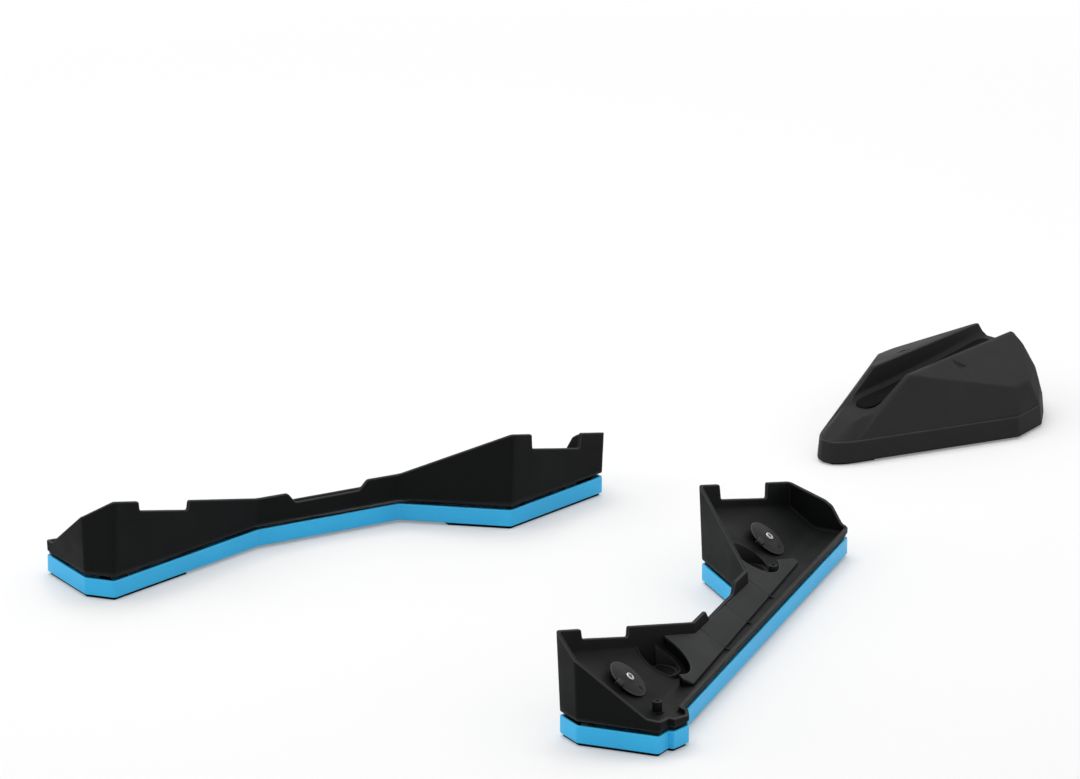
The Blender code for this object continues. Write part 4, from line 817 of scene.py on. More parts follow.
@dataclass
class Tray:
    """The black upper tray: leaning wall, rolled rim, floor, foot seats, bosses, ribs and pegs."""

    axes: PlateAxes
    outline: Outline
    low: float = 24.7 * MM
    wall_thickness: float = 3.5 * MM
    lean: float = 0.044
    rim_edge: float = 1.0 * MM
    foot_edge: float = 0.8 * MM
    corner_fillet: float = 2.6 * MM
    seam_place: float = 60.0 * MM
    seam_depth: float = 0.8 * MM
    seam_step: float = 0.7 * MM
    slope: float = math.radians(33.0)
    slope_edge: tuple[float, float] = (-43.7 * MM, 29.0 * MM)
    gutter_top: float = 24.3 * MM
    cove: float = 2.6 * MM
    seats: tuple[tuple[float, float], ...] = ((104.0 * MM, -61.5 * MM), (404.4 * MM, -60.8 * MM))
    seat_radius: float = 19.5 * MM
    seat_wall: float = 2.2 * MM
    seat_floor: float = 27.3 * MM
    seat_lip: float = 31.5 * MM
    seat_bead: float = 0.7 * MM
    pegs: tuple[tuple[float, float], ...] = ((13.0 * MM, -35.0 * MM), (408.0 * MM, -36.46 * MM))
    peg_radius: float = 4.8 * MM
    peg_top: float = 36.0 * MM
    ribs: tuple[float, ...] = (193.0 * MM, 269.5 * MM, 346.0 * MM)
    lugs: tuple[float, ...] = (41.3 * MM, 493.25 * MM)

    def out(self, height: Array) -> Array:
        """How far the leaning wall stands out at a height: lean times the height above its foot."""
        return self.lean * (height - self.low)

    def wall(self) -> Surface:
        """The wall as a closed section carried along its rounded top line.

        With C the top line in (distance, height) and N its normal there, the rim's outer rounding
        is C - N r (1 - sin f) at depth r (1 - cos f). Below it each column runs straight down.

        Returns:
            The wall in plate axes.
        """
        total = self.outline.sides()[3][-1]
        top = self.outline.top_line()
        shift = np.array([total, 0.0])
        line = np.vstack([top[-1:] - shift, top, top[:1] + shift])
        line = filleted(line, self.corner_fillet, 8, closed=False)[1:-1]
        seam = self.outline.sides()[3][7] + self.seam_place
        seam_steps = seam + np.linspace(-1.8, 1.8, 13) * MM
        extra = np.concatenate([self.outline.even_distances(7 * MM), seam_steps])
        s = np.sort(np.concatenate([line[:, 0], extra]) % total)
        s = s[np.concatenate([[True], np.diff(s) > 2e-6])]
        order = np.argsort(line[:, 0] % total)
        z = np.interp(s, line[order, 0] % total, line[order, 1], period=total)
        ahead = np.stack([np.roll(s, -1), np.roll(z, -1)], axis=1)
        back = np.stack([np.roll(s, 1), np.roll(z, 1)], axis=1)
        ahead[-1, 0] += total
        back[0, 0] -= total
        run = ahead - back
        run /= np.linalg.norm(run, axis=1, keepdims=True)
        normal = np.stack([-run[:, 1], run[:, 0]], axis=1)
        crest = np.stack([s, z], axis=1)
        inset, drop = rounding(self.rim_edge)
        below = crest - normal * (self.rim_edge + 0.7 * MM)
        foot = np.stack([s, np.full_like(s, self.low + self.foot_edge)], axis=1)
        # The third list holds the painted highlight per row, brightest on the rolled rim.
        rows, depths, painted_highlight = [], [], []
        foot_inset, foot_drop = rounding(self.foot_edge, steps=3)
        for i, d in zip(foot_inset[::-1], foot_drop[::-1]):
            rows.append(np.stack([s, np.full_like(s, self.low + d)], axis=1))
            depths.append(i)
            painted_highlight.append(0.4)
        for part in (0.06, 0.25, 0.5, 0.75, 0.94):
            rows.append(foot + (below - foot) * part)
            depths.append(0.0)
            painted_highlight.append(0.0)
        rows.append(below)
        depths.append(0.0)
        painted_highlight.append(0.0)
        for i, d, w in zip(inset, drop, (0.5, 1.0, 1.0, 0.7, 0.25)):
            rows.append(crest - normal * d)
            depths.append(i)
            painted_highlight.append(w)
        for i, d, w in zip(inset[::-1], drop[::-1], (0.25, 0.7, 1.0, 1.0, 0.5)):
            rows.append(crest - normal * d)
            depths.append(self.wall_thickness - i)
            painted_highlight.append(w)
        inner_foot = np.stack([s, np.full_like(s, self.low - 1.2 * MM)], axis=1)
        rows.append(below)
        depths.append(self.wall_thickness)
        painted_highlight.append(0.0)
        for part in (0.6, 0.3, 0.0):
            rows.append(inner_foot + (below - inner_foot) * part)
            depths.append(self.wall_thickness)
            painted_highlight.append(0.0)
        rows = np.stack(rows)
        depth = np.array(depths)[:, None]
        base, outward = self.outline.stations(rows[..., 0])
        along_seam = (rows[..., 0] - seam) / MM
        groove = self.seam_depth * np.exp(-((along_seam / 0.55) ** 2))
        end = self.outline.sides()[2][7] - self.seam_place
        step = self.seam_step * smooth_step(along_seam / 0.8) * smooth_step((end / MM - along_seam) / 6.0)
        step = np.where((along_seam > 0.0) & (along_seam < end / MM), step, 0.0)
        sunk = np.where(depth < self.wall_thickness / 2.0, groove + step, 0.0)
        offset = self.out(rows[..., 1]) - depth - sunk
        plan = base + outward * offset[..., None]
        points = np.concatenate([plan, rows[..., 1:]], axis=-1)
        return Surface.grid(points, np.array(painted_highlight)[:, None], wrap_rows=True, wrap_columns=True)

    def slope_height(self, across: Array) -> Array:
        """The gutter's level and the sloping pocket floor, with a rounded bend between them."""
        slope = self.slope_edge[1] + (self.slope_edge[0] - across) * math.tan(self.slope)
        return soft_max(np.full_like(across, self.gutter_top), slope, 1.6 * MM)

    def face_ring(self, beyond: float) -> Array:
        """A plan loop a distance inward of the wall's inner face, where that face meets the floor."""
        base, outward = self.outline.stations(self.outline.even_distances(6 * MM))
        level = self.slope_height(base[:, 1])
        offset = self.out(level) - self.wall_thickness - beyond
        return (base + outward * offset[:, None])[::-1]

    def floor(self) -> Surface:
        """The floor as a height over a triangulated plan, with the two round foot seats sunk in it.

        At a distance r from a seat's middle the height steps from the seat's floor to its lip at
        the seat's radius and down again outside its wall. Within the cove's radius R of the wall,
        R - sqrt(R^2 - (R - d)^2) is added.

        Returns:
            The floor in plate axes.
        """
        rings = [self.face_ring(x * MM) for x in (-1.9, 0.03, 0.3, 0.8, 1.6, 2.6)]
        angle = np.linspace(0.0, 2.0 * math.pi, 72, endpoint=False)
        circle = np.stack([np.cos(angle), np.sin(angle)], axis=1)
        radii = np.array([-0.30, -0.15, 0.0, 0.15, 0.9, 1.6, 1.9, 2.2, 2.5]) * MM + self.seat_radius
        circles = [np.array(seat) + circle * radius for seat in self.seats for radius in radii]
        bend = np.array([[-60.0, -39.2], [600.0, -39.2], [600.0, -33.8], [-60.0, -33.8]]) * MM
        plan, triangles = fill_region(rings, 5.5 * MM, [*circles, bend])
        level = self.slope_height(plan[:, 1])
        top, bottom, painted_highlight = level.copy(), level - 1.7 * MM, np.zeros(len(plan))
        for seat in self.seats:
            r = np.linalg.norm(plan - np.array(seat), axis=1) - self.seat_radius
            lip = np.maximum(self.seat_lip, level + self.seat_bead)
            outside = level + (lip - level) * smooth_step((2.35 * MM - r) / (0.6 * MM))
            inside = self.seat_floor + (lip - self.seat_floor) * smooth_step((r + 0.25 * MM) / (0.35 * MM))
            top = np.where(r < 0.5 * MM, inside, np.where(r < 3.0 * MM, outside, top))
            bottom = np.where(r < self.seat_wall, np.minimum(bottom, 25.0 * MM), bottom)
            # Painted highlight round each seat's lip.
            painted_highlight += edge_band(np.abs(r - 0.15 * MM), 0.35 * MM) * 0.6
        ring = rings[1]
        depth = loop_distance(plan, ring) * np.where(inside_loop(plan, ring), 1.0, -1.0)
        near = np.clip(self.cove - depth, 0.0, self.cove)
        top = top + self.cove - np.sqrt(self.cove ** 2 - near ** 2)
        return slab_between(plan, triangles, top, bottom, painted_highlight)

    def upright(self, spot: tuple[float, float], profile: Array, painted_highlight: Array) -> Surface:
        """A turned post at a place of the plan."""
        post = turned(profile, 48, painted_highlight=painted_highlight)
        post.points = post.points + np.array([spot[0], spot[1], 0.0])
        return post

    def details(self) -> list[Surface]:
        """Pegs with a dimpled top, the ribs across the gutter and the pivot lugs under the floor."""
        parts = []
        inset, drop = rounding(0.7 * MM)
        for spot in self.pegs:
            root = self.slope_height(np.array([spot[1]]))[0]
            flare_in, flare_up = rounding(1.4 * MM)
            rows = [[0.0, root - 1.5 * MM], [self.peg_radius + 1.4 * MM, root - 1.5 * MM]]
            rows += [[self.peg_radius + 1.4 * MM - i, root + 1.4 * MM - d]
                     for i, d in zip(flare_up[::-1], flare_in[::-1])]
            rows += [[self.peg_radius - 0.25 * MM - i, self.peg_top - d] for i, d in zip(inset, drop)]
            rows += [[2.0 * MM, self.peg_top], [1.7 * MM, self.peg_top - 0.3 * MM],
                     [1.4 * MM, self.peg_top - 1.6 * MM], [0.0, self.peg_top - 1.8 * MM]]
            # Painted highlight on the peg's rounded top edge.
            painted_highlight = np.zeros(len(rows))
            painted_highlight[7:12] = (0.3, 0.9, 1.0, 0.8, 0.3)
            parts.append(self.upright(spot, np.array(rows), painted_highlight))
        for at in self.ribs:
            section = np.array([[-22.3, 23.4], [-17.5, 23.4], [-17.5, 24.9], [-22.3, 27.1]]) * MM
            parts.append(rounded_slab(section, at - 1.0 * MM, at + 1.0 * MM, 0.35 * MM, 0.6 * MM))
        for at in self.lugs:
            section = np.array([[-84.0, 21.0], [-72.0, 21.0], [-72.0, 45.4], [-84.0, 53.2]]) * MM
            parts.append(rounded_slab(section, at - 2.5 * MM, at + 2.5 * MM, 0.5 * MM, 3.0 * MM))
        return parts

    def build(self, bosses: Sequence[Surface]) -> None:
        """Builds and dresses the tray.

        Args:
            bosses: the disc bosses, which are moulded with the tray.
        """
        side = self.axes.side.label
        whole = Surface.joined([self.wall(), self.floor(), *self.details(), *bosses])
        obj = self.axes.placed(whole).mesh_object(f"{side}_black_tray")
        dress(obj, TRAY_BLACK, f"{side}_rocking_tray", [f"{side}_tray"])


@dataclass
class Deck:
    """The sloping deck: four cushion-edged panels, each on a plinth that stands on the tray's floor."""

    axes: PlateAxes
    outline: Outline
    tray: Tray
    plane_edge: tuple[float, float] = (-43.7 * MM, 41.0 * MM)
    outer: float = -22.5 * MM
    rear_corners: tuple[tuple[float, float], ...] = ((90.0, -22.5), (85.0, -32.0), (88.0, -37.5))
    front_corners: tuple[tuple[float, float], ...] = ((421.0, -37.5), (450.0, -26.8), (450.0, -22.5))
    seat_clear: float = 30.0 * MM
    wall_gap: float = 0.3 * MM
    seam: float = 0.8 * MM
    edge: float = 0.9 * MM
    thickness: float = 2.6 * MM
    set_back: float = 0.25 * MM

    def height(self, across: Array) -> Array:
        """The deck plane: its edge height plus the distance inward times tan(33 degrees)."""
        return self.plane_edge[1] + (self.plane_edge[0] - across) * math.tan(self.tray.slope)

    def wall_line(self) -> Array:
        """The inner wall's face at the deck's height, as plan points from rear to front."""
        corners = np.array([(-11.6, -123.2), (179.3, -50.9), (340.7, -45.3), (432.0, -117.3),
                            (432.0, 500.0), (-11.6, 500.0)]) * MM
        inset = self.tray.wall_thickness + self.wall_gap - self.tray.out(self.height(corners[:, 1]))
        return inset_loop(corners, np.where(corners[:, 1] < 0.0, inset, 0.0))[:4]

    def seat_arc(self, seat: tuple[float, float], start: Array, end: Array) -> Array:
        """Points of the clearance circle round a foot seat, over its outer side from start to end."""
        centre = np.array(seat)
        first, last = (math.atan2(*(p - centre)[::-1]) for p in (start, end))
        first += 2.0 * math.pi * (first < last)
        turn = np.linspace(first, last, 30)
        return centre + self.seat_clear * np.stack([np.cos(turn), np.sin(turn)], axis=1)

    def crossing(self, seat: tuple[float, float], inside: Array, outside: Array) -> Array:
        """Where the line from a point inside a seat's circle to one outside leaves the circle."""
        run, away = outside - inside, inside - np.array(seat)
        a, b, c = run @ run, 2.0 * (run @ away), away @ away - self.seat_clear ** 2
        return inside + run * (-b + math.sqrt(b * b - 4.0 * a * c)) / (2.0 * a)

    def panels(self) -> list[Array]:
        """Plan loops of the four panels, anticlockwise, corners not yet rounded."""
        wall = self.wall_line()
        half = self.seam / 2.0
        at = [place for rib in self.tray.ribs for place in (rib - half, rib + half)]
        edge = {place: np.array([place, self.outer]) for place in at}
        foot = {place: np.array([place, np.interp(place, wall[:, 0], wall[:, 1])]) for place in at}
        rear, front = self.tray.seats
        tip, corner, bend = (np.array(p) * MM for p in self.rear_corners)
        start = self.crossing(rear, bend, corner)
        end = np.array([rear[0] + self.seat_clear, rear[1]])
        meet = np.array([end[0], np.interp(end[0], wall[:, 0], wall[:, 1])])
        first = [edge[at[0]], tip, corner, *self.seat_arc(rear, start, end), meet, wall[1], foot[at[0]]]
        second = [edge[at[2]], edge[at[1]], foot[at[1]], foot[at[2]]]
        third = [edge[at[4]], edge[at[3]], foot[at[3]], wall[2], foot[at[4]]]
        bend, corner, tip = (np.array(p) * MM for p in self.front_corners)
        start = np.array([front[0] - self.seat_clear, front[1]])
        end = self.crossing(front, bend, corner)
        meet = np.array([start[0], np.interp(start[0], wall[:, 0], wall[:, 1])])
        last = [tip, edge[at[5]], foot[at[5]], meet, *self.seat_arc(front, start, end), corner]
        return [np.array(loop) for loop in (first, second, third, last)]

    def panel(self, loop: Array) -> Surface:
        """One panel: the deck plane lowered near its edge by R - sqrt(R^2 - (R - d)^2).

        Args:
            loop: the panel's plan loop.

        Returns:
            The closed panel in plate axes.
        """
        loop = filleted(loop, 1.3 * MM, 5)
        loop = loop[np.linalg.norm(loop - np.roll(loop, 1, axis=0), axis=1) > 1e-6]
        inset, _ = rounding(self.edge)
        rings = [loop] + [inset_loop(loop, i) for i in (*inset[1:], self.edge + 0.5 * MM)]
        plan, triangles = fill_region(rings, 7 * MM)
        depth = loop_distance(plan, loop)
        near = np.clip(self.edge - depth, 0.0, self.edge)
        plane = self.height(plan[:, 1])
        top = plane - self.edge + np.sqrt(self.edge ** 2 - near ** 2)
        # Painted highlight along the panel's cushioned edge.
        painted_highlight = edge_band(depth - 0.35 * MM, 0.45 * MM)
        return slab_between(plan, triangles, top, plane - self.thickness, painted_highlight)

    def plinth(self, loop: Array) -> Surface:
        """The moulding under a panel: from the tray's floor to inside the panel, set back all round."""
        loop = inset_loop(filleted(loop, 1.3 * MM, 5), self.set_back)
        loop = loop[np.linalg.norm(loop - np.roll(loop, 1, axis=0), axis=1) > 1e-6]
        plan, triangles = fill_region([loop], 7 * MM)
        top = self.height(plan[:, 1]) - self.thickness + 0.3 * MM
        bottom = np.minimum(self.tray.slope_height(plan[:, 1]) + 0.2 * MM, top - 0.5 * MM)
        return slab_between(plan, triangles, top, bottom)

    def build(self) -> None:
        """Builds and dresses the deck."""
        side = self.axes.side.label
        whole = Surface.joined([self.panel(loop) for loop in self.panels()])
        obj = self.axes.placed(whole).mesh_object(f"{side}_deck_panels")
        dress(obj, DECK_GREY, f"{side}_rocking_tray", [f"{side}_deck_panel"])
        whole = Surface.joined([self.plinth(loop) for loop in self.panels()])
        obj = self.axes.placed(whole).mesh_object(f"{side}_deck_plinth")
        dress(obj, TRAY_BLACK, f"{side}_rocking_tray")


@dataclass
class FootPad:
    """A rubber cup in a foot seat, ringed with grip ridges and flat where the tray's wall cuts it."""

    axes: PlateAxes
    end: End
    seat: tuple[float, float]
    wall_side: tuple[tuple[float, float], tuple[float, float]]
    low: float = 27.6 * MM
    thickness: float = 2.4 * MM
    radius: float = 19.1 * MM
    dish: float = 15.4 * MM
    dish_depth: float = 1.0 * MM
    ridge: float = 0.22 * MM
    ridge_pitch: float = 2.2 * MM
    wall_clear: float = 3.9 * MM

    def surface(self) -> Surface:
        """The pad's turned profile, its radius limited to D / cos(a - w) beside a wall D away."""
        top = self.low + self.thickness
        rings = np.arange(0.0, self.dish - 1.2 * MM, 0.4 * MM)[::-1]
        ridges = top - self.dish_depth + self.ridge * np.cos(2.0 * math.pi * rings / self.ridge_pitch)
        inset, drop = rounding(0.6 * MM)
        edge = np.stack([self.radius - inset, top - drop], axis=1)
        lip = np.array([[self.dish, top], [self.dish - 0.4 * MM, top - 0.3 * MM],
                        [self.dish - 0.9 * MM, top - self.dish_depth]])
        profile = np.concatenate([[[0.0, self.low], [self.radius, self.low]], edge, lip,
                                  np.stack([rings, ridges], axis=1)])
        start, stop = (np.array(p) * MM for p in self.wall_side)
        run = (stop - start) / np.linalg.norm(stop - start)
        outward = np.array([run[1], -run[0]])
        room = (start - np.array(self.seat)) @ outward - self.wall_clear
        angle = np.linspace(0.0, 2.0 * math.pi, 120, endpoint=False)
        facing = np.maximum(np.cos(angle) * outward[0] + np.sin(angle) * outward[1], 1e-3)
        limit = np.minimum(room / facing / self.radius, 1.0)
        # Painted highlight on the pad's rounded rim.
        painted_highlight = np.zeros(len(profile))
        painted_highlight[2:8] = 0.6
        pad = turned(profile, 120, np.broadcast_to(limit, (len(profile), 120)), painted_highlight)
        pad.points = pad.points + np.array([*self.seat, 0.0])
        return pad

    def build(self) -> None:
        """Builds and dresses the pad."""
        side, end = self.axes.side.label, self.end.value
        obj = self.axes.placed(self.surface()).mesh_object(f"{side}_foot_pad_{end}")
        dress(obj, RUBBER, f"{side}_rocking_tray", [f"{side}_foot_cup_{end}"])


@dataclass
class LockDisc:
    """A domed lock disc on its boss, with a bright socket screw in its middle and a latch beside it."""

    axes: PlateAxes
    end: End
    tray: Tray
    centre: tuple[float, float, float]
    tilt: float = math.radians(40.0)
    radius: float = 21.0 * MM
    dome: float = 3.2 * MM
    rim: float = 1.2 * MM
    notch_half: float = 4.6 * MM
    notch_depth: float = 5.0 * MM
    mark: tuple[float, float, float] = (14.5 * MM, 2.5 * MM, 2.0 * MM)
    mark_depth: float = 0.8 * MM
    boss_radius: float = 8.0 * MM
    boss_reach: float = 9.8 * MM
    screw_radius: float = 4.5 * MM
    socket: float = 2.1 * MM
    latch_near: float = -21.8 * MM
    latch_length: float = 5.6 * MM
    latch_half: float = 3.4 * MM
    latch_shift: float = -3.6 * MM
    latch_hook: float = 5.0 * MM

    def tilted(self, points: Array) -> Array:
        """Turns (along, downhill, outward) points into plate axes about the disc's middle."""
        cos, sin = math.cos(self.tilt), math.sin(self.tilt)
        x, y, h = points[..., 0], points[..., 1], points[..., 2]
        return np.stack([x, y * cos + h * sin, h * cos - y * sin], axis=-1) + np.array(self.centre)

    def set_in_place(self, surface: Surface) -> Surface:
        """The surface with its disc points turned into plate axes."""
        surface.points = self.tilted(surface.points)
        return surface

    def disc(self) -> Surface:
        """The disc: a dome -h (r / R)^2 with a rounded rim, a notch at the latch and a sunk mark."""
        steps = 216
        under = -self.dome - self.rim
        inset, drop = rounding(0.7 * MM)
        rim = np.stack([self.radius - inset, -self.dome * 0.92 - drop], axis=1)
        radii = np.concatenate([np.linspace(self.radius - 1.3 * MM, 5.4 * MM, 34), [5.1 * MM, 4.95 * MM]])
        domed = np.stack([radii, -self.dome * (radii / self.radius) ** 2], axis=1)
        sunk = np.array([[4.9, -0.35], [4.8, -1.0], [0.0, -1.0]]) * MM
        foot = np.array([[0.0, under], [self.radius - 1.2 * MM, under],
                         [self.radius - 0.3 * MM, under + 0.25 * MM], [self.radius, under + 0.7 * MM]])
        profile = np.concatenate([foot, rim, domed, sunk])
        angle = np.linspace(0.0, 2.0 * math.pi, steps, endpoint=False)
        across = self.radius * np.sin(angle) - self.latch_shift
        at_latch = smooth_step((self.notch_half - np.abs(across)) / (0.6 * MM)) * (np.cos(angle) < 0.0)
        reach = np.maximum(1.0 - (self.radius - self.notch_depth) / np.maximum(profile[:, :1], 1 * MM), 0.0)
        # Painted highlight near the disc's rim.
        painted_highlight = edge_band(profile[:, 0] - self.radius + 0.4 * MM, 0.6 * MM) * (np.arange(len(profile)) > 3)
        shape = turned(profile, steps, 1.0 - reach * at_latch[None], painted_highlight)
        x, y, h = shape.points[:, 0], shape.points[:, 1], shape.points[:, 2]
        place, half_long, half_wide = self.mark
        ramp = 0.4 * MM
        sunk = smooth_step((half_long - np.abs(x)) / ramp)
        sunk = sunk * smooth_step((half_wide - np.abs(y - place)) / ramp)
        groove = edge_band(np.hypot(x, y) - 8.2 * MM, 0.45 * MM) * 0.35 * MM
        shape.points[:, 2] = np.where(h > -self.dome, h - self.mark_depth * sunk - groove, h)
        return self.set_in_place(shape)

    def screw(self) -> Surface:
        """The screw: a rounded head with a six-sided socket, radius a / cos of the angle off a flat."""
        steps = 72
        angle = np.linspace(0.0, 2.0 * math.pi, steps, endpoint=False)
        hexagon = 1.0 / np.cos((angle % (math.pi / 3.0)) - math.pi / 6.0)
        inset, drop = rounding(0.9 * MM)
        head = np.stack([self.screw_radius - inset, 0.9 * MM - drop], axis=1)
        profile = np.concatenate([
            np.array([[0.0, -10.5], [1.8, -10.5], [2.0, -10.2], [2.0, -0.9], [4.4, -0.9]]) * MM, head,
            [[self.socket + 0.5 * MM, 0.95 * MM], [self.socket + 0.25 * MM, 0.85 * MM],
             [self.socket, 0.6 * MM], [self.socket, -0.6 * MM], [0.0, -0.9 * MM]]])
        six = np.zeros((len(profile), 1))
        six[-4:-1] = 1.0
        six[-5] = 0.5
        # Painted highlight on the head's rounded edge.
        painted_highlight = edge_band(profile[:, 0] - 4.2 * MM, 0.5 * MM)
        shape = turned(profile, steps, 1.0 + six * (hexagon - 1.0), painted_highlight)
        return self.set_in_place(shape)

    def latch(self) -> Surface:
        """The latch: an L-shaped section carried across, its foot clamped just under the tray's floor."""
        far = self.latch_near - self.latch_length
        tip = self.latch_near + self.latch_hook
        low = -self.dome * (tip / self.radius) ** 2 + 0.45 * MM
        section = np.array([[far, -21 * MM], [self.latch_near, -21 * MM], [self.latch_near, low],
                            [tip, low], [tip, low + 2 * MM], [far, low + 2 * MM]])
        start, end = self.latch_shift - self.latch_half, self.latch_shift + self.latch_half
        slab = rounded_slab(section, start, end, 0.8 * MM, 0.9 * MM)
        slab.points = self.tilted(slab.points[:, [1, 0, 2]])
        floor = self.tray.slope_height(slab.points[:, 1]) - 0.8 * MM
        rise = np.maximum(floor - slab.points[:, 2], 0.0) / math.cos(self.tilt)
        slab.points += rise[:, None] * np.array([0.0, math.sin(self.tilt), math.cos(self.tilt)])
        return slab

    def boss(self) -> Surface:
        """The boss under the disc, flared where it meets the floor."""
        top = -self.dome - self.rim - 0.3 * MM
        flare = np.linspace(0.0, 1.0, 6)
        radii = self.boss_radius + 1.8 * MM * (1.0 - flare) ** 2
        heights = -self.boss_reach + (self.boss_reach + top - 1.0 * MM) * flare
        rows = [[0.0, -self.boss_reach], *np.stack([radii, heights], axis=1),
                [self.boss_radius - 0.5 * MM, top], [0.0, top]]
        return self.set_in_place(turned(np.array(rows), 64))

    def build(self) -> None:
        """Builds and dresses the disc, its screw and its latch."""
        side, end = self.axes.side.label, self.end.value
        tray = f"{side}_rocking_tray"
        obj = self.axes.placed(self.disc()).mesh_object(f"{side}_domed_disc_{end}")
        dress(obj, DISC_GREY, f"{side}_disc_body_{end}", [f"{side}_lock_disc_{end}"])
        obj = self.axes.placed(self.screw()).mesh_object(f"{side}_socket_screw_{end}")
        dress(obj, SCREW_BRIGHT, tray, [f"{side}_disc_screw_{end}"])
        obj = self.axes.placed(self.latch()).mesh_object(f"{side}_hook_latch_{end}")
        dress(obj, DISC_GREY, tray, [f"{side}_latch_{end}"])


@dataclass
class WheelBlock:
    """The front-wheel block: a faceted moulding with a U groove, a stepped skirt and a rubber liner."""

    shift: float = -6.0 * MM
    nose: float = 0.2393188114
    length: float = 316.0 * MM
    skirt_low: float = 2.5 * MM
    skirt_top: float = 25.0 * MM
    skirt_edge: float = 1.2 * MM
    ledge: float = 2.4 * MM
    draft: float = 2.0 * MM
    half_plan: tuple[tuple[float, float], ...] = (
        (6.0, 0.5), (13.5, 5.5), (20.6, 13.5), (26.5, 24.0), (106.5, 197.5), (100.1, 247.0),
        (75.6, 284.5), (35.0, 316.0),
    )
    shoulder: tuple[tuple[float, float, float], ...] = (
        (25.0, 111.0, 75.5), (25.0, 296.0, 78.5), (90.0, 209.0, 51.5), (90.0, 237.0, 51.5),
        (42.3, 290.0, 70.5), (70.0, 275.0, 54.5), (82.0, 267.0, 38.0),
    )
    mouth: tuple[float, float, float] = (20.0, 58.0, 45.6)
    lip: tuple[float, float, float] = (12.0, 40.0, 43.0)
    groove: tuple[float, float, float, float] = (13.0 * MM, 18.0 * MM, 21.0 * MM, 5.0 * MM)
    mark: tuple[float, float, float, float] = (35.0 * MM, 183.0 * MM, 12.5 * MM, 13.8 * MM)
    mark_depth: float = 2.6 * MM
    wall: float = 3.2 * MM
    tuck: float = 0.4 * MM
    middle: float = 50 * MM
    groove_top: float = 78.5 * MM
    liner_half: float = 12.2 * MM
    liner_thickness: float = 2.0 * MM
    liner_run: tuple[float, float] = (61.0 * MM, 290.0 * MM)

    def plan_loop(self, inset: float) -> Array:
        """The skirt's plan, anticlockwise with rounded corners, moved inward."""
        return filleted(self.corner_loop(inset), 3.0 * MM, 6)

    def corner_loop(self, inset: float) -> Array:
        """The corners of the skirt's plan on both sides, anticlockwise, moved inward."""
        right = np.array(self.half_plan) * MM
        left = right[::-1] * np.array([-1.0, 1.0])
        return inset_loop(np.concatenate([right, left]), inset)

    def corner_points(self, inset: float, first: float) -> Array:
        """Plan corners of the skirt moved inward, at the level of its top, from a place on."""
        loop = self.corner_loop(inset)
        loop = loop[loop[:, 1] >= first]
        return np.column_stack([loop, np.full(len(loop), self.skirt_top - self.tuck)])

    @staticmethod
    def upper_planes(points: Array) -> Array:
        """The planes of a point cloud's convex hull that face up, found from every three points.

        Args:
            points: the cloud.

        Returns:
            Rows of (a, b, c) with height = a + b x + c y.
        """
        count = len(points)
        i, j, k = (n.reshape(-1) for n in np.meshgrid(*[np.arange(count)] * 3, indexing="ij"))
        keep = (i < j) & (j < k)
        p, q, r = points[i[keep]], points[j[keep]], points[k[keep]]
        normal = np.cross(q - p, r - p)
        size = np.linalg.norm(normal, axis=1)
        good = (size > 1e-9) & (np.abs(normal[:, 2]) > 1e-3 * size)
        normal, p = normal[good] / size[good, None], p[good]
        normal *= np.sign(normal[:, 2:])
        reach = (normal * p).sum(axis=1)
        outside = (points @ normal.T - reach).max(axis=0)
        normal, reach = normal[outside < 1e-7], reach[outside < 1e-7]
        planes = np.stack([reach, -normal[:, 0], -normal[:, 1]], axis=1) / normal[:, 2:]
        return np.unique(planes.round(5), axis=0)

    def mirrored(self, points: Sequence[tuple[float, float, float]]) -> Array:
        """The points in metres, with their mirror images in x."""
        right = np.array(points) * MM
        return np.concatenate([right, right * np.array([-1.0, 1.0, 1.0])])

    def groove_floor(self, y: Array) -> Array:
        """Height of the groove's floor: a parabola from its mouth, then 50 + 17.5 t^1.3 to the front."""
        behind = np.clip((100.0 * MM - y) / (60.0 * MM), 0.0, 1.2)
        ahead = np.clip((y - 100.0 * MM) / (216.0 * MM), 0.0, 1.1)
        return (50.0 - 8.0 * behind ** 2 + 17.5 * ahead ** 1.3) * MM

    def groove_height(self, x: Array, y: Array) -> Array:
        """The groove as a height: flat floor, sloping bend, steep sides, with rounded corners."""
        floor_half, side_half, top_half, bend = self.groove
        reach = np.abs(x)
        low = self.groove_floor(y)
        bent = low + (reach - floor_half) * bend / (side_half - floor_half)
        rise = self.groove_top - low - bend
        steep = low + bend + (reach - side_half) * rise / (top_half - side_half)
        return soft_max(soft_max(low, bent, 1.4 * MM), steep, 1.4 * MM)

    def top_height(self, x: Array, y: Array) -> Array:
        """Height of the moulding: two hulls joined, less the groove and the sunk arrow mark."""
        body = self.upper_planes(np.concatenate([
            self.corner_points(self.ledge, 18 * MM), self.mirrored([self.mouth, *self.shoulder])]))
        nose = self.corner_points(self.ledge + 0.5 * MM, 0.0)
        nose = self.upper_planes(np.concatenate([
            nose[nose[:, 1] < 58 * MM], self.mirrored([self.mouth, self.lip, (20.0, 62.5, 20.5)])]))
        heights = []
        for planes in (body, nose):
            stack = planes[:, 0, None, None] + planes[:, 1, None, None] * x + planes[:, 2, None, None] * y
            heights.append(soft_min(stack, 0.30 * MM))
        whole = soft_max(heights[0], heights[1], 1.0 * MM)
        place, along, width, length = self.mark
        u, v = (y - along) / (width / 2.0), (place - np.abs(x)) / (length / 2.0)
        inside = np.minimum((1.0 - v) / 2.0 - np.abs(u), v + 1.0)
        whole = whole - self.mark_depth * smooth_step(inside / 0.14 + 0.5)
        return soft_min(np.stack([whole, self.groove_height(x, y)]), 0.35 * MM)

    def half_width(self, y: Array) -> Array:
        """The plan's half width at a distance from the nose, inside the skirt's ledge."""
        plan = self.corner_loop(self.ledge)[: len(self.half_plan)]
        return np.interp(y, plan[:, 1], plan[:, 0])

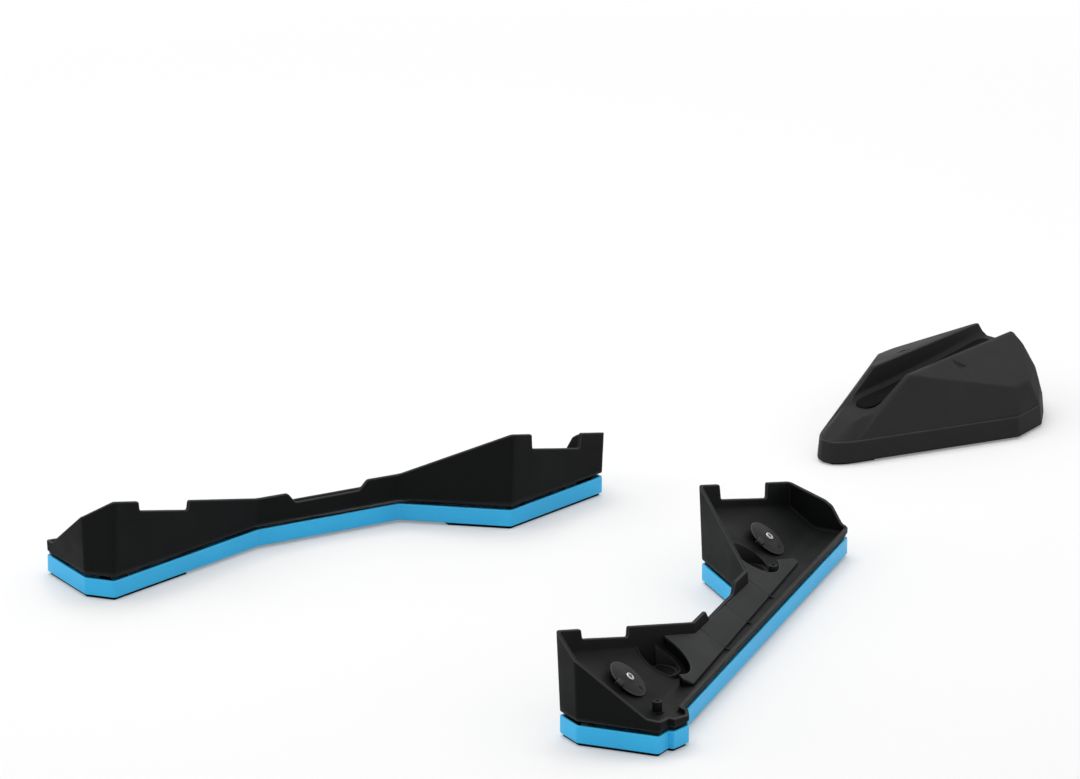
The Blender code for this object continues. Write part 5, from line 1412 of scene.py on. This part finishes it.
    def moulding(self) -> Surface:
        """The top of the block over a grid whose columns close up round the groove and the mark.

        x runs straight with the column's number inside 50 mm of the middle where the plan is wide
        enough, and is stretched beyond it to the plan's edge.
        """
        edge = self.ledge
        y = np.concatenate([np.arange(edge, 34 * MM, 1.5 * MM), np.arange(34 * MM, 66 * MM, 1.3 * MM),
                            np.arange(66 * MM, 150 * MM, 2.2 * MM), np.arange(150 * MM, 190 * MM, 0.7 * MM),
                            np.arange(190 * MM, 284 * MM, 2.2 * MM),
                            np.arange(284 * MM, self.length - edge, 0.9 * MM), [self.length - edge]])
        near = np.concatenate([np.arange(0.0, 12 * MM, 2.4 * MM),
                               np.arange(12 * MM, 17.5 * MM, 0.9 * MM),
                               np.arange(17.5 * MM, 23 * MM, 0.28 * MM),
                               np.arange(23 * MM, 34 * MM, 1.6 * MM),
                               np.arange(34 * MM, 46.5 * MM, 0.6 * MM), [48 * MM, self.middle]])
        far = np.linspace(0.0, 1.0, 28)[1:]
        width = self.half_width(y)[:, None]
        fit = np.minimum(width * 0.9, self.middle)
        half = np.concatenate([near[None] * fit / self.middle, fit + (width - fit) * far[None]], axis=1)
        x = np.concatenate([-half[:, :0:-1], half], axis=1)
        y = np.broadcast_to(y[:, None], x.shape)
        z = np.maximum(self.top_height(x, y), self.skirt_top - self.tuck)
        return Surface.grid(np.stack([x, y, z], axis=-1))

    def skirt(self) -> Surface:
        """The skirt: a closed section with rolled edges carried round the plan."""
        inset, drop = rounding(self.skirt_edge)
        top = np.stack([inset, self.skirt_top - drop], axis=1)
        low_inset, low_drop = rounding(0.6 * MM)
        foot = np.stack([low_inset, self.skirt_low + low_drop], axis=1)[::-1]
        rows = np.concatenate([foot, [[0.0, self.skirt_low + 2 * MM], [0.0, self.skirt_top - 2.6 * MM]], top,
                               [[5.0 * MM, self.skirt_top], [5.2 * MM, self.skirt_low + 4 * MM],
                                [12.0 * MM, self.skirt_low + 4 * MM], [12.0 * MM, self.skirt_low]]])
        lean = self.draft * (rows[:, 1] - self.skirt_low) / (self.skirt_top - self.skirt_low)
        loops = [np.column_stack([self.plan_loop(i), np.full(len(self.plan_loop(i)), z)])
                 for i, z in zip(rows[:, 0] + lean, rows[:, 1])]
        # Painted highlight on the skirt's rolled top edge.
        painted_highlight = np.zeros(len(rows))
        painted_highlight[7:12] = (0.3, 0.8, 1.0, 0.8, 0.3)
        return Surface.grid(np.stack(loops), painted_highlight[:, None], wrap_rows=True, wrap_columns=True)

    def liner(self) -> Surface:
        """The rubber liner: a strip with half-round ends and fine cross ribs on the groove's floor."""
        y = np.arange(self.liner_run[0], self.liner_run[1], 0.8 * MM)
        t = np.linspace(0.0, math.pi, 13)
        half, thick = self.liner_half, self.liner_thickness
        bead = 0.8 * MM
        x = np.concatenate([[half - 0.4 * MM, half], half - bead + bead * np.cos(t[:4]),
                            [6 * MM, 0.0, -6 * MM], -half + bead - bead * np.cos(t[:4][::-1]),
                            [-half, -half + 0.4 * MM]])
        h = np.concatenate([[0.0, 0.4 * MM], thick - bead + bead * np.sin(t[:4] * 2.0), [thick] * 3,
                            thick - bead + bead * np.sin(t[:4][::-1] * 2.0), [0.4 * MM, 0.0]])
        fade = smooth_step((y - y[0]) / (3 * MM)) * smooth_step((y[-1] - y) / (3 * MM))
        rib = 0.18 * MM * np.cos(2.0 * math.pi * y / (4 * MM)) * fade
        lift = (h > thick * 0.8)[None] * rib[:, None]
        end = 0.3 * MM + h[None] * (0.35 + 0.65 * np.sqrt(fade))[:, None] + lift
        z = self.groove_floor(y)[:, None] + end
        from_end = np.clip(np.minimum(y - y[0], y[-1] - y) / half + 0.06, 0.0, 1.0)
        narrow = np.sqrt(1.0 - (1.0 - from_end) ** 2)
        points = np.stack([x * narrow[:, None], np.broadcast_to(y[:, None], z.shape), z], axis=-1)
        return Surface.grid(points, wrap_columns=True, cap_ends=True)

    def moved(self, surface: Surface) -> Surface:
        """The surface moved to the block's place in the frame."""
        surface.points = surface.points + np.array([self.shift, self.nose, 0.0])
        return surface

    def build(self) -> None:
        """Builds and dresses the moulding with its skirt, and the liner."""
        obj = self.moved(self.moulding()).mesh_object("block_moulding", closed=False, crease=50.0)
        thick = obj.modifiers.new("wall", "SOLIDIFY")
        thick.thickness = self.wall
        thick.offset = -1.0
        dress(obj, BLOCK_BLACK, "base_set", ["block_shell"])
        obj = self.moved(self.skirt()).mesh_object("block_skirt")
        dress(obj, BLOCK_BLACK, "base_set")
        obj = self.moved(self.liner()).mesh_object("block_groove_liner")
        dress(obj, RUBBER, "base_set", ["block_wheel_liner"])


@dataclass
class HiddenGear:
    """The rolling gear, pads and stops, whose CAD nodes keep their shape and get finishes."""

    finishes: tuple[tuple[str, Finish], ...] = (
        ("pad", RUBBER), ("bumper", RUBBER), ("rail", STEEL), ("carriage", STEEL), ("axle", STEEL),
        ("rock_pin", STEEL), ("roller", NYLON),
    )

    def build(self) -> None:
        """Gives each node that is still shown its finish, by the words in its name."""
        for name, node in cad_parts.items():
            for word, finish in self.finishes:
                if f"_{word}" in name:
                    for slot in node.material_slots:
                        slot.material = finish.material()
                    LOG.info("%s keeps its shape, %s", name, finish.name)
                    break


@dataclass
class Plate:
    """One plate of the pair: base, tray, deck, foot pads and lock discs."""

    side: Side

    def build(self) -> None:
        """Builds the plate's sub-assemblies in order, from the floor up."""
        axes, outline = PlateAxes(self.side), Outline()
        BaseTray(axes, outline).build()
        tray = Tray(axes, outline)
        discs = [
            LockDisc(axes, End.REAR, tray, (26.0 * MM, -65.4 * MM, 52.0 * MM)),
            LockDisc(axes, End.FRONT, tray, (462.0 * MM, -55.9 * MM, 45.8 * MM)),
        ]
        tray.build([disc.boss() for disc in discs])
        Deck(axes, outline, tray).build()
        FootPad(axes, End.REAR, tray.seats[0], ((-11.6, -123.2), (179.3, -50.9))).build()
        FootPad(axes, End.FRONT, tray.seats[1], ((340.7, -45.3), (432.0, -117.3))).build()
        for disc in discs:
            disc.build()


@dataclass
class Studio:
    """The pale floor, soft lights, white surroundings and the camera."""

    camera_place: tuple[float, float, float] = (4.012287, -5.004776, 2.244269)
    azimuth: float = math.radians(40.042)
    elevation: float = math.radians(18.137)
    focal: float = 222.38
    sensor: float = 36.0
    floor_half: float = 40.0
    sky: float = 0.66
    floor_colour: tuple[float, float, float, float] = (0.76, 0.76, 0.76, 1.0)
    floor_glow: float = 0.24
    fade_run: tuple[float, float] = (0.9, 2.2)

    def camera(self) -> None:
        """Sets the camera at its azimuth and elevation, without roll or shift."""
        data = bpy.data.cameras.new("camera")
        data.lens = self.focal
        data.sensor_width = self.sensor
        data.sensor_fit = "HORIZONTAL"
        data.clip_end = 200.0
        obj = bpy.data.objects.new("camera", data)
        bpy.context.scene.collection.objects.link(obj)
        az, el = self.azimuth, self.elevation
        ahead = Vector((-math.sin(az) * math.cos(el), math.cos(az) * math.cos(el), -math.sin(el)))
        right = Vector((math.cos(az), math.sin(az), 0.0))
        up = right.cross(ahead)
        turn = Matrix((right, up, -ahead)).transposed().to_4x4()
        obj.matrix_world = Matrix.Translation(self.camera_place) @ turn
        bpy.context.scene.camera = obj

    def world(self) -> None:
        """A soft even sky that is white where the camera, gloss or glass looks straight at it."""
        world = bpy.data.worlds.new("surroundings")
        bpy.context.scene.world = world
        world.use_nodes = True
        nodes, links = world.node_tree.nodes, world.node_tree.links
        back = nodes["Background"]
        back.inputs["Color"].default_value = (1.0, 1.0, 1.0, 1.0)
        seen = nodes.new("ShaderNodeLightPath")
        strength = nodes.new("ShaderNodeMapRange")
        strength.inputs["To Min"].default_value = self.sky
        strength.inputs["To Max"].default_value = 1.0
        reached = nodes.new("ShaderNodeMath")
        reached.operation = "MAXIMUM"
        links.new(seen.outputs["Is Camera Ray"], reached.inputs[0])
        links.new(seen.outputs["Is Glossy Ray"], reached.inputs[1])
        every = nodes.new("ShaderNodeMath")
        every.operation = "MAXIMUM"
        links.new(reached.outputs["Value"], every.inputs[0])
        links.new(seen.outputs["Is Transmission Ray"], every.inputs[1])
        links.new(every.outputs["Value"], strength.inputs["Value"])
        links.new(strength.outputs["Result"], back.inputs["Strength"])

    def floor(self) -> None:
        """A wide pale floor that keeps the shadow and turns to plain white away from the set."""
        mesh = bpy.data.meshes.new("studio_floor")
        half = self.floor_half
        corners = [(-half, -half, 0.0), (half, -half, 0.0), (half, half, 0.0), (-half, half, 0.0)]
        mesh.from_pydata(corners, [], [(0, 1, 2, 3)])
        obj = bpy.data.objects.new("studio_floor", mesh)
        bpy.context.scene.collection.objects.link(obj)
        made = bpy.data.materials.new("pale_floor")
        made.use_nodes = True
        nodes, links = made.node_tree.nodes, made.node_tree.links
        shader = nodes["Principled BSDF"]
        shader.inputs["Base Color"].default_value = self.floor_colour
        shader.inputs["Roughness"].default_value = 0.9
        shader.inputs["Specular IOR Level"].default_value = 0.1
        glow = nodes.new("ShaderNodeEmission")
        glow.inputs["Strength"].default_value = 1.0
        seen = nodes.new("ShaderNodeLightPath")
        place = nodes.new("ShaderNodeTexCoord")
        away = nodes.new("ShaderNodeVectorMath")
        away.operation = "LENGTH"
        links.new(place.outputs["Object"], away.inputs[0])
        fade = nodes.new("ShaderNodeMapRange")
        fade.inputs["From Min"].default_value, fade.inputs["From Max"].default_value = self.fade_run
        fade.inputs["To Min"].default_value = self.floor_glow
        links.new(away.outputs["Value"], fade.inputs["Value"])
        share = nodes.new("ShaderNodeMath")
        share.operation = "MULTIPLY"
        links.new(fade.outputs["Result"], share.inputs[1])
        mix = nodes.new("ShaderNodeMixShader")
        links.new(seen.outputs["Is Camera Ray"], share.inputs[0])
        links.new(share.outputs["Value"], mix.inputs["Fac"])
        links.new(shader.outputs["BSDF"], mix.inputs[1])
        links.new(glow.outputs["Emission"], mix.inputs[2])
        links.new(mix.outputs["Shader"], nodes["Material Output"].inputs["Surface"])
        mesh.materials.append(made)

    def lamp(self, name: str, place: tuple[float, float, float], size: float, power: float) -> None:
        """A square soft light that points at the middle of the set."""
        data = bpy.data.lights.new(name, "AREA")
        data.size = size
        data.energy = power
        obj = bpy.data.objects.new(name, data)
        bpy.context.scene.collection.objects.link(obj)
        ahead = Vector((0.0, 0.0, 0.05)) - Vector(place)
        aim = ahead.to_track_quat("-Z", "Y").to_matrix().to_4x4()
        obj.matrix_world = Matrix.Translation(place) @ aim

    def build(self) -> None:
        """Sets up the whole studio."""
        self.camera()
        self.world()
        self.floor()
        self.lamp("overhead", (-0.7, 0.2, 3.6), 3.0, 100.0)
        self.lamp("right_fill", (4.6, -0.8, 1.7), 2.6, 8.0)
        self.lamp("left_fill", (-2.6, -3.0, 1.8), 2.2, 26.0)
        self.lamp("back_edge", (-1.8, 3.4, 1.6), 1.8, 5.0)
        view = bpy.context.scene.view_settings
        view.view_transform = "Standard"


def main() -> None:
    """Builds the studio, both plates and the block."""
    logging.basicConfig(level=logging.INFO, format="%(name)s: %(message)s")
    Studio().build()
    for side in Side:
        Plate(side).build()
    WheelBlock().build()
    HiddenGear().build()
    bpy.context.view_layer.update()
    LOG.info("size boxes written")


if __name__ == "__main__":
    main()
